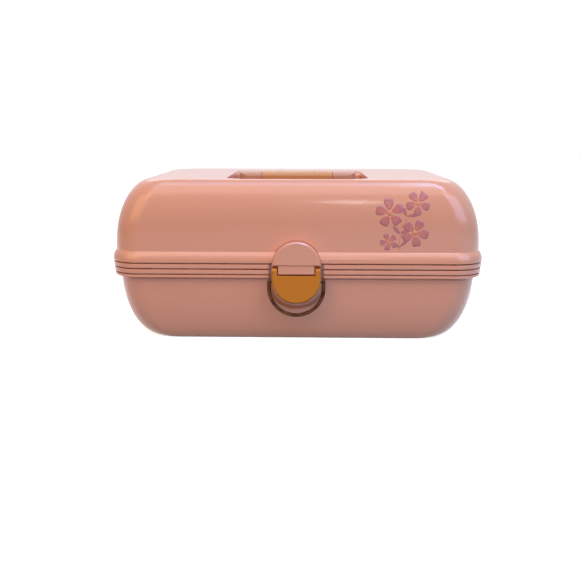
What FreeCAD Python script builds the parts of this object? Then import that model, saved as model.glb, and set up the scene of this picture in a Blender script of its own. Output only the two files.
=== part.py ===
"""Makeup storage case with a folding handle, cantilever trays and a lid mirror.

Frame: X to the right, Y to the back, Z up, millimetres.  The origin is the
middle of the flat bottom of the tub.  Every piece is modelled where it sits
with the lid shut and the handle folded.
"""
import FreeCAD, Part
import math
import os
import re

import Sketcher

Vector = FreeCAD.Vector

# How near a face or an edge counts as being on a plane, in millimetres.
TOUCH = 0.01

# ---------------------------------------------------------------- sizes
# Driving dimensions, in millimetres or degrees, kept in the spreadsheet.
SIZES = {
    # whole case
    "case_length": 335.0,
    "case_depth": 216.0,
    "lid_height": 144.5,
    "parting_height": 66.9,
    "wall": 2.4,
    "plan_radius": 25.0,
    # waist band
    "rib_pitch": 4.9,
    "rib_round": 0.8,
    "groove_width": 0.8,
    "groove_depth": 1.9,
    "band_lip": 11.3,
    "band_step": 0.5,
    "band_bevel": 2.7,
    "band_sink": 0.5,
    "lid_inset": 3.4,
    "tub_inset": 6.3,
    "rim_height": 2.6,
    "rim_thickness": 1.2,
    # curved ends and edges of the shells
    "shoulder_run": 32.5,
    "shoulder_rise": 61.2,
    "top_edge_run": 16.5,
    "top_edge_rise": 45.0,
    "tub_end_run": 31.0,
    "tub_end_rise": 64.0,
    "tub_front_run": 14.0,
    "tub_front_rise": 58.0,
    # lid hinge
    "hinge_offset": 4.0,
    "hinge_spread": 95.0,
    "knuckle_radius": 3.4,
    "lid_knuckle": 14.0,
    "tub_knuckle": 9.0,
    "hinge_pin_radius": 1.5,
    # latch
    "latch_radius": 21.5,
    "latch_rise": 3.5,
    "pad_proud": 4.6,
    "pad_bevel": 1.2,
    "pad_seat": 0.4,
    "notch_half": 24.0,
    "notch_rise": 5.8,
    "tab_half": 15.85,
    "tab_drop": 2.8,
    "tab_wall": 0.5,
    "tab_root": 1.0,
    "latch_axis_drop": 0.6,
    "latch_axis_proud": 2.5,
    "latch_pin_radius": 0.8,
    "flap_half": 21.3,
    "flap_drop": 29.1,
    "flap_thickness": 2.2,
    "flap_bevel": 1.3,
    "flange_depth": 2.9,
    "flange_width": 2.0,
    "ear_radius": 2.5,
    "flap_slot_gap": 0.9,
    "flap_slot_drop": 1.3,
    "catch_half": 12.0,
    "catch_drop": 16.9,
    "catch_size": 5.0,
    "hook_half": 11.0,
    "hook_drop": 7.0,
    "hook_height": 4.0,
    "hook_proud": 0.6,
    # pull ring
    "ring_wire": 3.3,
    "ring_half": 24.0,
    "ring_pivot_drop": 10.6,
    "ring_pivot_proud": 1.5,
    "ring_leg": 5.85,
    "ring_end_radius": 1.0,
    # handle and its recess
    "recess_half": 64.0,
    "recess_front": 82.0,
    "recess_back": 42.0,
    "recess_depth": 7.5,
    "recess_radius": 14.0,
    "handle_half": 52.5,
    "handle_front": 78.0,
    "handle_proud": 5.8,
    "handle_round": 9.0,
    "grip_depth": 22.0,
    "grip_half": 31.6,
    "grip_brow": 3.2,
    "grip_crown": 13.6,
    "grip_bow": 1.2,
    "grip_edge": 1.6,
    "sleeve_skin": 1.0,
    "leg_width": 11.0,
    "leg_thickness": 6.5,
    "leg_overlap": 4.0,
    "handle_axis_back": 24.0,
    "handle_axis_rise": 3.8,
    "handle_pin_radius": 1.6,
    "pin_margin": 1.0,
    "handle_boss": 3.6,
    "grip_screw_spread": 15.6,
    "grip_screw_radius": 2.1,
    "grip_screw_sink": 0.9,
    "screw_slot_length": 2.8,
    "screw_slot_width": 0.5,
    "screw_slot_depth": 0.8,
    # mirror
    "mirror_half": 95.0,
    "mirror_depth": 108.0,
    "mirror_frame": 4.5,
    "mirror_drop": 12.5,
    "mirror_border": 7.0,
    "glass_thickness": 2.0,
    "mirror_pin_radius": 1.25,
    "mirror_ear": 5.0,
    # trays and their linkage
    "tray_end_room": 27.0,
    "tray_wall": 2.0,
    "tray_floor": 1.8,
    "tray_radius": 9.0,
    "lower_tray_setback": 22.0,
    "lower_tray_room": 116.0,
    "lower_tray_drop": 27.5,
    "upper_tray_setback": 16.0,
    "upper_tray_room": 138.0,
    "upper_tray_rise": 2.5,
    "tray_height": 27.0,
    "collar_length": 1.5,
    "divider_thickness": 1.6,
    "divider_height": 20.0,
    "front_pin_margin": 8.4,
    "rear_pin_margin": 14.6,
    "arm_pivot_drop": 30.0,
    "arm_angle": 30.0,
    "arm_thickness": 2.0,
    "arm_half_width": 5.0,
    "lower_reach": 45.0,
    "upper_reach": 85.0,
    "link_reach": 30.0,
    "link_gap": 1.8,
    "link_thickness": 1.6,
    "link_half_width": 4.0,
    "rivet_radius": 1.5,
    "rivet_head_radius": 3.2,
    "rivet_head": 0.9,
    # fits
    "running_gap": 0.05,
    "rivet_gap": 0.1,
    "seat_gap": 0.15,
    "boss_gap": 0.2,
    "side_gap": 0.3,
    # how far a cut runs past what it opens
    "overrun": 1.0,
}

doc = FreeCAD.newDocument("makeup_case")
sheet = doc.addObject("Spreadsheet::Sheet", "sizes")
for row, (alias, number) in enumerate(SIZES.items(), start=1):
    sheet.set(f"A{row}", alias)
    sheet.set(f"B{row}", str(number))
    sheet.setAlias(f"B{row}", alias)
doc.recompute()

# How finely the curved ends of the shells are lofted.
SECTIONS = 14
LOFT_DEGREE = 3

PIECES = []


def size(alias):
    """Read one driving dimension from the spreadsheet."""
    return float(sheet.get(alias))


def cells(text):
    """Turn a formula over aliases into an expression over the sheet's cells."""
    return re.sub(r"[a-z_]{2,}", lambda m: "sizes." + m[0] if m[0] in SIZES else m[0], text)


def value(formula):
    """Work a formula over aliases out to a number."""
    return float(sheet.evalExpression(cells(formula)))


def bind(item, **formulas):
    """Bind properties to formulas; a double underscore stands for a dot."""
    for prop, formula in formulas.items():
        item.setExpression(prop.replace("__", "."), cells(formula))
    return item


def place(item, x="0", y="0", z="0"):
    """Bind the position of an object to three formulas."""
    return bind(item, Placement__Base__x=x, Placement__Base__y=y, Placement__Base__z=z)


def piece(item, label):
    """Note an object as one named piece of the case."""
    item.Label = label
    PIECES.append(item)
    return item


# ---------------------------------------------------------------- primitives
def box(name, x, y, z, length, width, height):
    """A block from its lowest corner and its three sides."""
    block = bind(doc.addObject("Part::Box", name), Length=length, Width=width, Height=height)
    return place(block, x, y, z)


def rod(name, x, y, z, radius, length):
    """A cylinder along +X that starts at x."""
    cylinder = bind(doc.addObject("Part::Cylinder", name), Radius=radius, Height=length)
    cylinder.Placement.Rotation = FreeCAD.Rotation(Vector(0, 1, 0), 90)
    return place(cylinder, x, y, z)


def post(name, x, y, z, radius, height):
    """A cylinder along +Z that starts at z."""
    cylinder = bind(doc.addObject("Part::Cylinder", name), Radius=radius, Height=height)
    return place(cylinder, x, y, z)


def fuse(name, *parts):
    """Join objects into one."""
    joined = doc.addObject("Part::MultiFuse", name)
    joined.Shapes = list(parts)
    joined.Refine = True
    return joined


def cut(name, base, *tools):
    """Take tools away from an object."""
    tool = tools[0] if len(tools) == 1 else fuse(name + "_tools", *tools)
    result = doc.addObject("Part::Cut", name)
    result.Base = base
    result.Tool = tool
    return result


def mirrored(name, source):
    """The same object on the other side of the YZ plane."""
    twin = doc.addObject("Part::Mirroring", name)
    twin.Source = source
    twin.Normal = Vector(1, 0, 0)
    return twin


def pair(name, source):
    """An object and its mirror image at the other end of the case."""
    group = doc.addObject("Part::Compound", name)
    group.Links = [source, mirrored(name + "_mirror", source)]
    return group


def solid_feature(name, shape):
    """Keep a shape built from the sheet's sizes as an object."""
    feature = doc.addObject("Part::Feature", name)
    feature.Shape = shape
    return feature


# ---------------------------------------------------------------- sketches
def new_body(label):
    """A PartDesign body that is one piece."""
    return piece(doc.addObject("PartDesign::Body", label), label)


def origin_plane(body, role):
    """One of the body's own origin planes."""
    return next(f for f in body.Origin.OriginFeatures if f.Role == role)


def new_sketch(body, role, name, x="0", y="0", z="0"):
    """A sketch on an origin plane; x, y and z shift it in the plane's own axes."""
    sketch = body.newObject("Sketcher::SketchObject", name)
    sketch.AttachmentSupport = (origin_plane(body, role), "")
    sketch.MapMode = "FlatFace"
    bind(sketch, AttachmentOffset__Base__x=x, AttachmentOffset__Base__y=y,
         AttachmentOffset__Base__z=z)
    return sketch


def dimension(sketch, formula, *constraint):
    """Add a sized constraint and bind it to a formula."""
    index = sketch.addConstraint(Sketcher.Constraint(*constraint))
    sketch.setExpression(f"Constraints[{index}]", cells(formula))


def draw_circle(sketch, radius, x=None):
    """A circle on the sketch's X axis, at its origin or at x from it."""
    index = sketch.addGeometry(Part.Circle(Vector(0, 0, 0), Vector(0, 0, 1), 1.0))
    dimension(sketch, radius, "Radius", index, 1.0)
    if x is None:
        sketch.addConstraint(Sketcher.Constraint("Coincident", index, 3, -1, 1))
        return
    sketch.addConstraint(Sketcher.Constraint("PointOnObject", index, 3, -1))
    dimension(sketch, x, "DistanceX", -1, 1, index, 3, 1.0)


def draw_rectangle(sketch, length, width):
    """A rectangle centred on the sketch's origin."""
    half = (50.0, 30.0)
    corners = [(-half[0], -half[1]), (half[0], -half[1]), (half[0], half[1]), (-half[0], half[1])]
    sides = []
    for start, end in zip(corners, corners[1:] + corners[:1]):
        sides.append(sketch.addGeometry(Part.LineSegment(Vector(*start, 0), Vector(*end, 0))))
    for side, following in zip(sides, sides[1:] + sides[:1]):
        sketch.addConstraint(Sketcher.Constraint("Coincident", side, 2, following, 1))
    for side, direction in zip(sides, ["Horizontal", "Vertical"] * 2):
        sketch.addConstraint(Sketcher.Constraint(direction, side))
    sketch.addConstraint(Sketcher.Constraint("Symmetric", sides[0], 1, sides[1], 2, -1, 1))
    dimension(sketch, length, "DistanceX", sides[0], 1, sides[0], 2, 2 * half[0])
    dimension(sketch, width, "DistanceY", sides[1], 1, sides[1], 2, 2 * half[1])


def draw_capsule(sketch, reach, radius, start_reach, start_radius):
    """A slot outline from the origin to reach along the sketch's X axis."""
    up = Vector(0, 0, 1)
    top = Vector(0, start_radius, 0)
    far = Vector(start_reach, 0, 0)
    near_arc = Part.ArcOfCircle(Part.Circle(Vector(0, 0, 0), up, start_radius), math.pi / 2, 1.5 * math.pi)
    far_arc = Part.ArcOfCircle(Part.Circle(far, up, start_radius), -math.pi / 2, math.pi / 2)
    near = sketch.addGeometry(near_arc)
    low = sketch.addGeometry(Part.LineSegment(-top, far - top))
    end = sketch.addGeometry(far_arc)
    high = sketch.addGeometry(Part.LineSegment(far + top, top))
    for first, first_point, second, second_point in ((near, 2, low, 1), (low, 2, end, 1),
                                                     (end, 2, high, 1), (high, 2, near, 1)):
        sketch.addConstraint(Sketcher.Constraint("Tangent", first, first_point, second, second_point))
    sketch.addConstraint(Sketcher.Constraint("Coincident", near, 3, -1, 1))
    sketch.addConstraint(Sketcher.Constraint("PointOnObject", end, 3, -1))
    dimension(sketch, reach, "DistanceX", -1, 1, end, 3, start_reach)
    dimension(sketch, radius, "Radius", near, start_radius)


def pad(body, name, sketch, length, both_ways=False):
    """Pad a sketch along its normal."""
    feature = body.newObject("PartDesign::Pad", name)
    feature.Profile = sketch
    feature.Midplane = both_ways
    return bind(feature, Length=length)


def pocket(body, name, sketch, length=None, reverse=False):
    """Pocket a sketch, through everything when no length is given."""
    feature = body.newObject("PartDesign::Pocket", name)
    feature.Profile = sketch
    feature.Reversed = reverse
    if length is None:
        feature.Type = "ThroughAll"
        feature.Midplane = True
        return feature
    return bind(feature, Length=length)


def soften(body, name, base, edges, radius, kind="Fillet"):
    """Fillet or chamfer edges of the body's last feature."""
    feature = body.newObject("PartDesign::" + kind, name)
    feature.Base = (base, edges)
    return bind(feature, **{"Radius" if kind == "Fillet" else "Size": radius})


def edges_where(feature, test):
    """Names of the edges whose middle point passes a test."""
    names = []
    for number, edge in enumerate(feature.Shape.Edges, start=1):
        middle = edge.valueAt((edge.FirstParameter + edge.LastParameter) / 2)
        if test(edge, middle):
            names.append(f"Edge{number}")
    return names


def is_upright(edge, _middle):
    """True for an edge along Z."""
    return abs(edge.tangentAt(edge.FirstParameter).z) > 0.9


def rounded_block(body, middle_y, bottom, length, depth, height, radius):
    """A block centred on X = 0 with upright rounded corners, in a body."""
    name = body.Name
    plan = new_sketch(body, "XY_Plane", name + "_plan", y=middle_y, z=bottom)
    draw_rectangle(plan, length, depth)
    slab = pad(body, name + "_slab", plan, height)
    doc.recompute()
    soften(body, name + "_corners", slab, edges_where(slab, is_upright), radius)
    return body


# ---------------------------------------------------------------- shell forms
def rounded_wire(half_length, half_depth, radius, z):
    """A rounded rectangle in plan, centred on the Z axis."""
    x, y = half_length - radius, half_depth - radius
    edges = []
    for turn, (cx, cy) in enumerate([(x, y), (-x, y), (-x, -y), (x, -y)]):
        start = math.radians(90 * turn)
        centre = Vector(cx, cy, z)
        corner = Part.ArcOfCircle(Part.Circle(centre, Vector(0, 0, 1), radius), start, start + math.pi / 2)
        edges.append(corner)
    sides = []
    for corner, following in zip(edges, edges[1:] + edges[:1]):
        sides += [corner.toShape(), Part.LineSegment(corner.EndPoint, following.StartPoint).toShape()]
    return Part.Wire(sides)


def pull_in(distance, run, rise):
    """How far an elliptic edge has come in at a distance from its flat face."""
    if distance >= rise:
        return 0.0
    share = 1.0 - distance / rise
    return run * (1.0 - math.sqrt(max(0.0, 1.0 - share * share)))


def shell_form(half_length, half_depth, radius, face, direction, height, end_edge, front_edge):
    """A shell's form from its flat face; direction is +1 when the shell rises from it.

    The curved part is a loft whose sections lie closest where the edges turn
    fastest; the straight walls beyond it are a prism.
    """
    run, rise = end_edge
    wires = []
    for step in range(SECTIONS + 1):
        distance = rise * (1.0 - math.cos(math.radians(90.0 * step / SECTIONS)))
        wires.append(rounded_wire(half_length - pull_in(distance, run, rise),
                                  half_depth - pull_in(distance, *front_edge),
                                  radius, face + direction * distance))
    curved = Part.makeLoft(wires, True, False, False, LOFT_DEGREE)
    walls = Part.Face(wires[-1]).extrude(Vector(0, 0, direction * (height - rise)))
    return curved.fuse(walls).removeSplitter()


def tub_form(offset):
    """The tub's outside, or its inside when offset is the wall."""
    inset = size("tub_inset") + offset
    return shell_form(size("case_length") / 2 - inset, size("case_depth") / 2 - inset,
                      size("plan_radius") - offset, offset, 1, size("parting_height") - offset,
                      (size("tub_end_run"), size("tub_end_rise") - offset),
                      (size("tub_front_run"), size("tub_front_rise") - offset))


def lid_form(offset):
    """The lid's outside, or its inside when offset is the wall."""
    inset = size("lid_inset") + offset
    return shell_form(size("case_length") / 2 - inset, size("case_depth") / 2 - inset,
                      size("plan_radius") - offset, size("lid_height") - offset, -1,
                      size("lid_height") - offset - size("parting_height"),
                      (size("shoulder_run"), size("shoulder_rise") - offset),
                      (size("top_edge_run"), size("top_edge_rise") - offset))


def arc_edge(start, middle, end):
    """An arc through three points, as an edge."""
    return Part.Arc(Vector(*start), Vector(*middle), Vector(*end)).toShape()


def line_edge(start, end):
    """A straight edge."""
    return Part.LineSegment(Vector(*start), Vector(*end)).toShape()


def band_ring(profile):
    """Sweep a band profile, drawn at the front of the case, round the plan."""
    half_length = size("case_length") / 2
    half_depth = size("case_depth") / 2
    radius = size("plan_radius") + size("lid_inset")
    path = rounded_wire(half_length, half_depth, radius, size("parting_height"))
    return path.makePipeShell([Part.Wire(profile)], True, False)


def corner_edge(face, z, rise):
    """The rounded corner from a groove's side at height z to a rib's face."""
    radius = size("rib_round")
    near = radius * (1.0 - math.sqrt(0.5))
    return arc_edge((0, face + radius, z), (0, face + near, z + math.copysign(near, rise)),
                    (0, face, z + math.copysign(radius, rise)))


def rib_edges(face, floor, start, end):
    """A flat rib with rounded corners, from the groove at start to the groove at end."""
    rise = end - start
    turn = math.copysign(size("rib_round"), rise)
    return [line_edge((0, floor, start), (0, face + abs(turn), start)), corner_edge(face, start, rise),
            line_edge((0, face, start + turn), (0, face, end - turn)), corner_edge(face, end, -rise),
            line_edge((0, face + abs(turn), end), (0, floor, end))]


def swell_edge(face, low, root, high):
    """An arc that leaves a face straight upwards and leans in to the middle of the wall."""
    run, rise = root - face, high - low
    radius = (run * run + rise * rise) / (2 * run)
    half_turn = math.atan2(run, rise)
    middle = (0, face + radius * (1 - math.cos(half_turn)), low + radius * math.sin(half_turn))
    return arc_edge((0, face, low), middle, (0, root, high))


def lid_band_profile():
    """One rib above the parting line, then a taller rounded lip."""
    crest, z = -size("case_depth") / 2, size("parting_height")
    half_groove, step = size("groove_width") / 2, size("band_step")
    floor = crest + step + size("groove_depth")
    root = crest + size("lid_inset") + size("wall") / 2
    groove = z + size("rib_pitch")
    lip, top = groove + half_groove, groove + size("band_lip")
    edges = [line_edge((0, root, z), (0, floor, z)), line_edge((0, floor, z), (0, floor, z + half_groove))]
    edges += rib_edges(crest + step, floor, z + half_groove, groove - half_groove)
    edges += [line_edge((0, floor, groove - half_groove), (0, floor, lip)),
              line_edge((0, floor, lip), (0, crest + size("rib_round"), lip)), corner_edge(crest, lip, 1),
              swell_edge(crest, lip + size("rib_round"), root, top), line_edge((0, root, top), (0, root, z))]
    return edges


def tub_band_profile():
    """Two ribs below the parting line, each a step further in, the lower one bevelled."""
    crest, z = -size("case_depth") / 2, size("parting_height")
    half_groove, step, depth = size("groove_width") / 2, size("band_step"), size("groove_depth")
    upper, lower = crest + 2 * step, crest + 3 * step
    root = crest + size("tub_inset") + size("wall") / 2
    groove, foot = z - size("rib_pitch"), z - 2 * size("rib_pitch") - size("band_sink")
    edges = [line_edge((0, root, z), (0, upper + depth, z)),
             line_edge((0, upper + depth, z), (0, upper + depth, z - half_groove))]
    edges += rib_edges(upper, upper + depth, z - half_groove, groove + half_groove)
    edges += [line_edge((0, upper + depth, groove + half_groove), (0, upper + depth, groove - half_groove)),
              line_edge((0, upper + depth, groove - half_groove),
                        (0, lower + size("rib_round"), groove - half_groove)),
              corner_edge(lower, groove - half_groove, -1),
              line_edge((0, lower, groove - half_groove - size("rib_round")),
                        (0, lower, foot + size("band_bevel"))),
              line_edge((0, lower, foot + size("band_bevel")), (0, root, foot)),
              line_edge((0, root, foot), (0, root, z))]
    return edges


# Planes and points that several pieces share, as formulas.
FRONT = "(-case_depth / 2)"
HINGE_Y = "(case_depth / 2 + hinge_offset)"
LATCH_BASE = "(parting_height + latch_rise)"
LATCH_AXIS_Y = f"({FRONT} - latch_axis_proud)"
LATCH_AXIS_Z = "(parting_height - latch_axis_drop)"
PAD_BACK = f"({FRONT} + lid_inset + pad_seat)"
CATCH_TOP = "(parting_height - catch_drop)"
RING_Y = f"({FRONT} - ring_pivot_proud)"
RING_Z = "(parting_height - ring_pivot_drop)"
RECESS_FLOOR = "(lid_height - recess_depth)"
HANDLE_TOP = "(lid_height + handle_proud)"
HANDLE_AXIS_Z = f"({RECESS_FLOOR} + handle_axis_rise)"
GRIP_MIDDLE_Y = "(-handle_front + grip_depth / 2)"
MIRROR_TOP = "(lid_height - mirror_drop)"
MIRROR_PIN = ("(-mirror_depth / 2 + mirror_ear / 2)", f"({MIRROR_TOP} - mirror_frame / 2)")
TRAY_HALF = "(case_length / 2 - tray_end_room)"
LOWER_TRAY = ("(case_depth / 2 - lower_tray_setback)", "(case_depth - lower_tray_room)",
              "(parting_height - lower_tray_drop)")
UPPER_TRAY = ("(case_depth / 2 - upper_tray_setback)", "(case_depth - upper_tray_room)",
              "(parting_height + upper_tray_rise)")
ARM_PLANE = f"({TRAY_HALF} + collar_length)"
LINK_PLANE = f"({ARM_PLANE} + arm_thickness + link_gap)"
ARM_FRONT = f"(front_pin_margin - {UPPER_TRAY[0]} + upper_reach * cos(arm_angle))"
ARM_REAR = f"({UPPER_TRAY[1]} - {UPPER_TRAY[0]} - rear_pin_margin + upper_reach * cos(arm_angle))"
ARM_Z = "(parting_height - arm_pivot_drop)"
LOWER_PIN = ("(-lower_reach * cos(arm_angle))", f"({ARM_Z} + lower_reach * sin(arm_angle))")
UPPER_PIN = ("(-upper_reach * cos(arm_angle))", f"({ARM_Z} + upper_reach * sin(arm_angle))")
LINK_PIN = (f"({ARM_FRONT} - link_reach * cos(arm_angle))", f"({ARM_Z} + link_reach * sin(arm_angle))")
LID_PIN = (f"({HINGE_Y} - link_reach * cos(arm_angle))",
           "(parting_height + link_reach * sin(arm_angle))")


# ---------------------------------------------------------------- tub
def knuckle(name, x, length, upward):
    """A hinge knuckle centred on x, with the web that joins it to the band."""
    barrel = rod(name, f"{x} - ({length}) / 2", HINGE_Y, "parting_height", "knuckle_radius", length)
    low = "parting_height + side_gap" if upward else "parting_height - 2 * knuckle_radius"
    high = "2 * knuckle_radius - side_gap"
    web = box(name + "_web", f"{x} - ({length}) / 2", "case_depth / 2 - lid_inset - wall / 2",
              low, length, "hinge_offset + lid_inset + wall / 2", high)
    return fuse(name + "_joined", barrel, web)


def hinge_bore(name, x, radius):
    """The hole for a hinge pin right through one hinge."""
    reach = "(lid_knuckle / 2 + tub_knuckle + 2 * overrun)"
    return rod(name, f"{x} - {reach}", HINGE_Y, "parting_height", radius, f"2 * {reach}")


def tub():
    """The lower tub with its ribs, rim, hinge knuckles and arm bosses."""
    outside = solid_feature("tub_outside", tub_form(0.0))
    inside = solid_feature("tub_inside", tub_form(size("wall")))
    ribs = solid_feature("tub_ribs", band_ring(tub_band_profile()))
    added = [outside, ribs]
    offset = "(lid_knuckle / 2 + tub_knuckle / 2 + side_gap)"
    for side in ("-1", "1"):
        for end in ("-1", "1"):
            tag = "left" if side == "-1" else "right"
            name = f"tub_knuckle_{tag}_{'inner' if end == '1' else 'outer'}"
            added.append(knuckle(name, f"({side} * hinge_spread + {end} * {offset})", "tub_knuckle", False))
    hollow = [inside]
    for side in ("-1", "1"):
        hollow.append(hinge_bore(f"tub_bore{side}", f"{side} * hinge_spread", "hinge_pin_radius"))
    hollow.append(box("latch_notch", "-notch_half", f"{FRONT} - overrun", "parting_height - 3 * rib_pitch",
                      "2 * notch_half", "tub_inset + overrun", "4 * rib_pitch"))
    shell = cut("tub_hollowed", fuse("tub_solid", *added), *hollow)
    catch = box("latch_catch", "-catch_half", f"{FRONT} + tub_inset - catch_size",
                f"{CATCH_TOP} - catch_size", "2 * catch_half", "catch_size + wall / 2", "catch_size")
    details = [shell, catch, rim()]
    for name, y in (("front", ARM_FRONT), ("rear", ARM_REAR)):
        details.append(pair(f"arm_boss_{name}_pair", arm_boss(f"arm_boss_{name}", y)))
    piece(fuse("base_shell", *details), "base_shell")


def rim():
    """A thin upstand inside the front and the ends of the tub's mouth."""
    inset = size("lid_inset") + size("wall") + size("side_gap")
    radius = size("plan_radius") - size("wall") - size("side_gap")
    half_length = size("case_length") / 2 - inset
    half_depth = size("case_depth") / 2 - inset
    thickness = size("rim_thickness") + size("tub_inset") - size("lid_inset")
    foot = size("parting_height") - size("rib_pitch")
    depth = Vector(0, 0, size("rib_pitch") + size("rim_height"))
    outer = Part.Face(rounded_wire(half_length, half_depth, radius, foot)).extrude(depth)
    hole = Part.Face(rounded_wire(half_length - thickness, half_depth - thickness,
                                  radius - thickness, foot)).extrude(depth)
    ring = solid_feature("rim_ring", outer.cut(hole))
    back = box("rim_back", "-case_length / 2", "case_depth / 2 - lid_inset - plan_radius",
               "parting_height - side_gap", "case_length", "plan_radius", "rim_height + overrun")
    return cut("rim", ring, back)


def arm_boss(name, y):
    """A boss on the tub's end wall that carries one arm, drilled for its rivet."""
    start = f"({ARM_PLANE} + arm_thickness + boss_gap)"
    reach = f"(case_length / 2 - tub_inset - wall / 2 - {start})"
    barrel = rod(name + "_barrel", start, y, ARM_Z, "arm_half_width", reach)
    skin = solid_feature(name + "_skin", tub_form(size("wall") / 2))
    inner = doc.addObject("Part::MultiCommon", name + "_trimmed")
    inner.Shapes = [barrel, skin]
    hole = rod(name + "_hole", start, y, ARM_Z, "rivet_radius", "arm_half_width")
    return cut(name, inner, hole)


# ---------------------------------------------------------------- lid
def lid():
    """The upper shell with its lip, handle recess, bosses and hinge knuckles."""
    outside = solid_feature("lid_outside", lid_form(0.0))
    inside = solid_feature("lid_inside", lid_form(size("wall")))
    lip = solid_feature("lid_lip", band_ring(lid_band_profile()))
    knuckles = []
    bores = []
    for side in ("-1", "1"):
        tag = "left" if side == "-1" else "right"
        knuckles.append(knuckle(f"lid_knuckle_{tag}", f"{side} * hinge_spread", "lid_knuckle", True))
        bores.append(hinge_bore(f"lid_bore_{tag}", f"{side} * hinge_spread",
                                "hinge_pin_radius + running_gap"))
    shell = cut("lid_hollowed", fuse("lid_solid", outside, lip, *knuckles), inside, *bores)
    tub_block = recess_block("recess_outer", "wall", "wall")
    pocket_block = recess_block("recess_inner", "0", "0", top="overrun")
    seat = latch_seat()
    notch = box("lid_notch", "-notch_half", f"{FRONT} - overrun", "parting_height - overrun",
                "2 * notch_half", f"{PAD_BACK} - {FRONT} + overrun", "notch_rise + overrun")
    opened = cut("lid_opened", fuse("lid_with_recess", shell, tub_block), pocket_block, seat, notch)
    parts = [opened]
    parts.append(pair("handle_boss_pair", handle_boss()))
    parts.append(pair("mirror_boss_pair", mirror_boss()))
    parts.append(pair("link_boss_pair", link_boss()))
    piece(fuse("lid_shell", *parts), "lid_shell")


def recess_block(name, grow, drop, top="0"):
    """The handle's recess as a rounded block, grown all round and downwards."""
    return rounded_block(doc.addObject("PartDesign::Body", name), "(recess_back - recess_front) / 2",
                         f"{RECESS_FLOOR} - {drop}", f"2 * (recess_half + {grow})",
                         f"recess_front + recess_back + 2 * {grow}", f"recess_depth + {drop} + {top}",
                         f"recess_radius + {grow}")


def latch_seat():
    """The half-disc seat for the latch pad, cut back to the lid's wall."""
    disc = doc.addObject("Part::Cylinder", "latch_seat_disc")
    disc.Placement.Rotation = FreeCAD.Rotation(Vector(1, 0, 0), 90)
    bind(disc, Radius="latch_radius + seat_gap", Height="lid_inset + pad_proud")
    place(disc, y=PAD_BACK, z=LATCH_BASE)
    half = box("latch_seat_half", "-2 * latch_radius", f"{FRONT} - latch_radius", LATCH_BASE,
               "4 * latch_radius", "2 * latch_radius", "2 * latch_radius")
    common = doc.addObject("Part::MultiCommon", "latch_seat")
    common.Shapes = [disc, half]
    return common


def handle_boss():
    """A block at the end of the recess that holds one handle pin."""
    start = "(handle_half + 2 * side_gap)"
    block = box("handle_boss_block", start, "handle_axis_back - handle_boss", f"{RECESS_FLOOR} - wall / 2",
                f"recess_half + wall / 2 - {start}", "2 * handle_boss", "handle_axis_rise + wall / 2")
    crown = rod("handle_boss_crown", start, "handle_axis_back", HANDLE_AXIS_Z, "handle_boss",
                f"recess_half + wall / 2 - {start}")
    hole = rod("handle_boss_hole", "handle_half - overrun", "handle_axis_back", HANDLE_AXIS_Z,
               "handle_pin_radius", "recess_half - handle_half")
    return cut("handle_boss", fuse("handle_boss_solid", block, crown), hole)


def mirror_boss():
    """A hanger under the lid's top that holds one mirror pin."""
    block = box("mirror_boss_block", "mirror_half + side_gap", f"{MIRROR_PIN[0]} - mirror_ear",
                f"{MIRROR_PIN[1]} - mirror_ear / 2", "mirror_ear", "2 * mirror_ear",
                f"lid_height - wall / 2 - {MIRROR_PIN[1]} + mirror_ear / 2")
    hole = rod("mirror_boss_hole", "mirror_half", *MIRROR_PIN, "mirror_pin_radius", "3 * mirror_ear")
    return cut("mirror_boss", block, hole)


def link_boss():
    """A boss on the lid's end wall for the upper pin of a lid link."""
    start = f"({LINK_PLANE} + link_thickness + boss_gap)"
    barrel = rod("link_boss_barrel", start, *LID_PIN, "arm_half_width",
                 f"case_length / 2 - lid_inset - wall / 2 - {start}")
    hole = rod("link_boss_hole", start, *LID_PIN, "rivet_radius", "arm_half_width")
    return cut("link_boss", barrel, hole)


# ---------------------------------------------------------------- hinge
def round_pin(label, start, y, z, radius, length):
    """A plain pin along +X as a body of its own."""
    body = new_body(label)
    sketch = new_sketch(body, "YZ_Plane", label + "_circle", x=y, y=z, z=start)
    draw_circle(sketch, radius)
    pad(body, label + "_pad", sketch, length)
    return body


def hinge_pins():
    """One long pin for each rear hinge."""
    reach = "(lid_knuckle / 2 + tub_knuckle + side_gap)"
    for side, tag in (("-1", "left"), ("1", "right")):
        round_pin(f"hinge_pin_{tag}", f"{side} * hinge_spread - {reach}", HINGE_Y, "parting_height",
                  "hinge_pin_radius", f"2 * {reach}")


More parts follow.
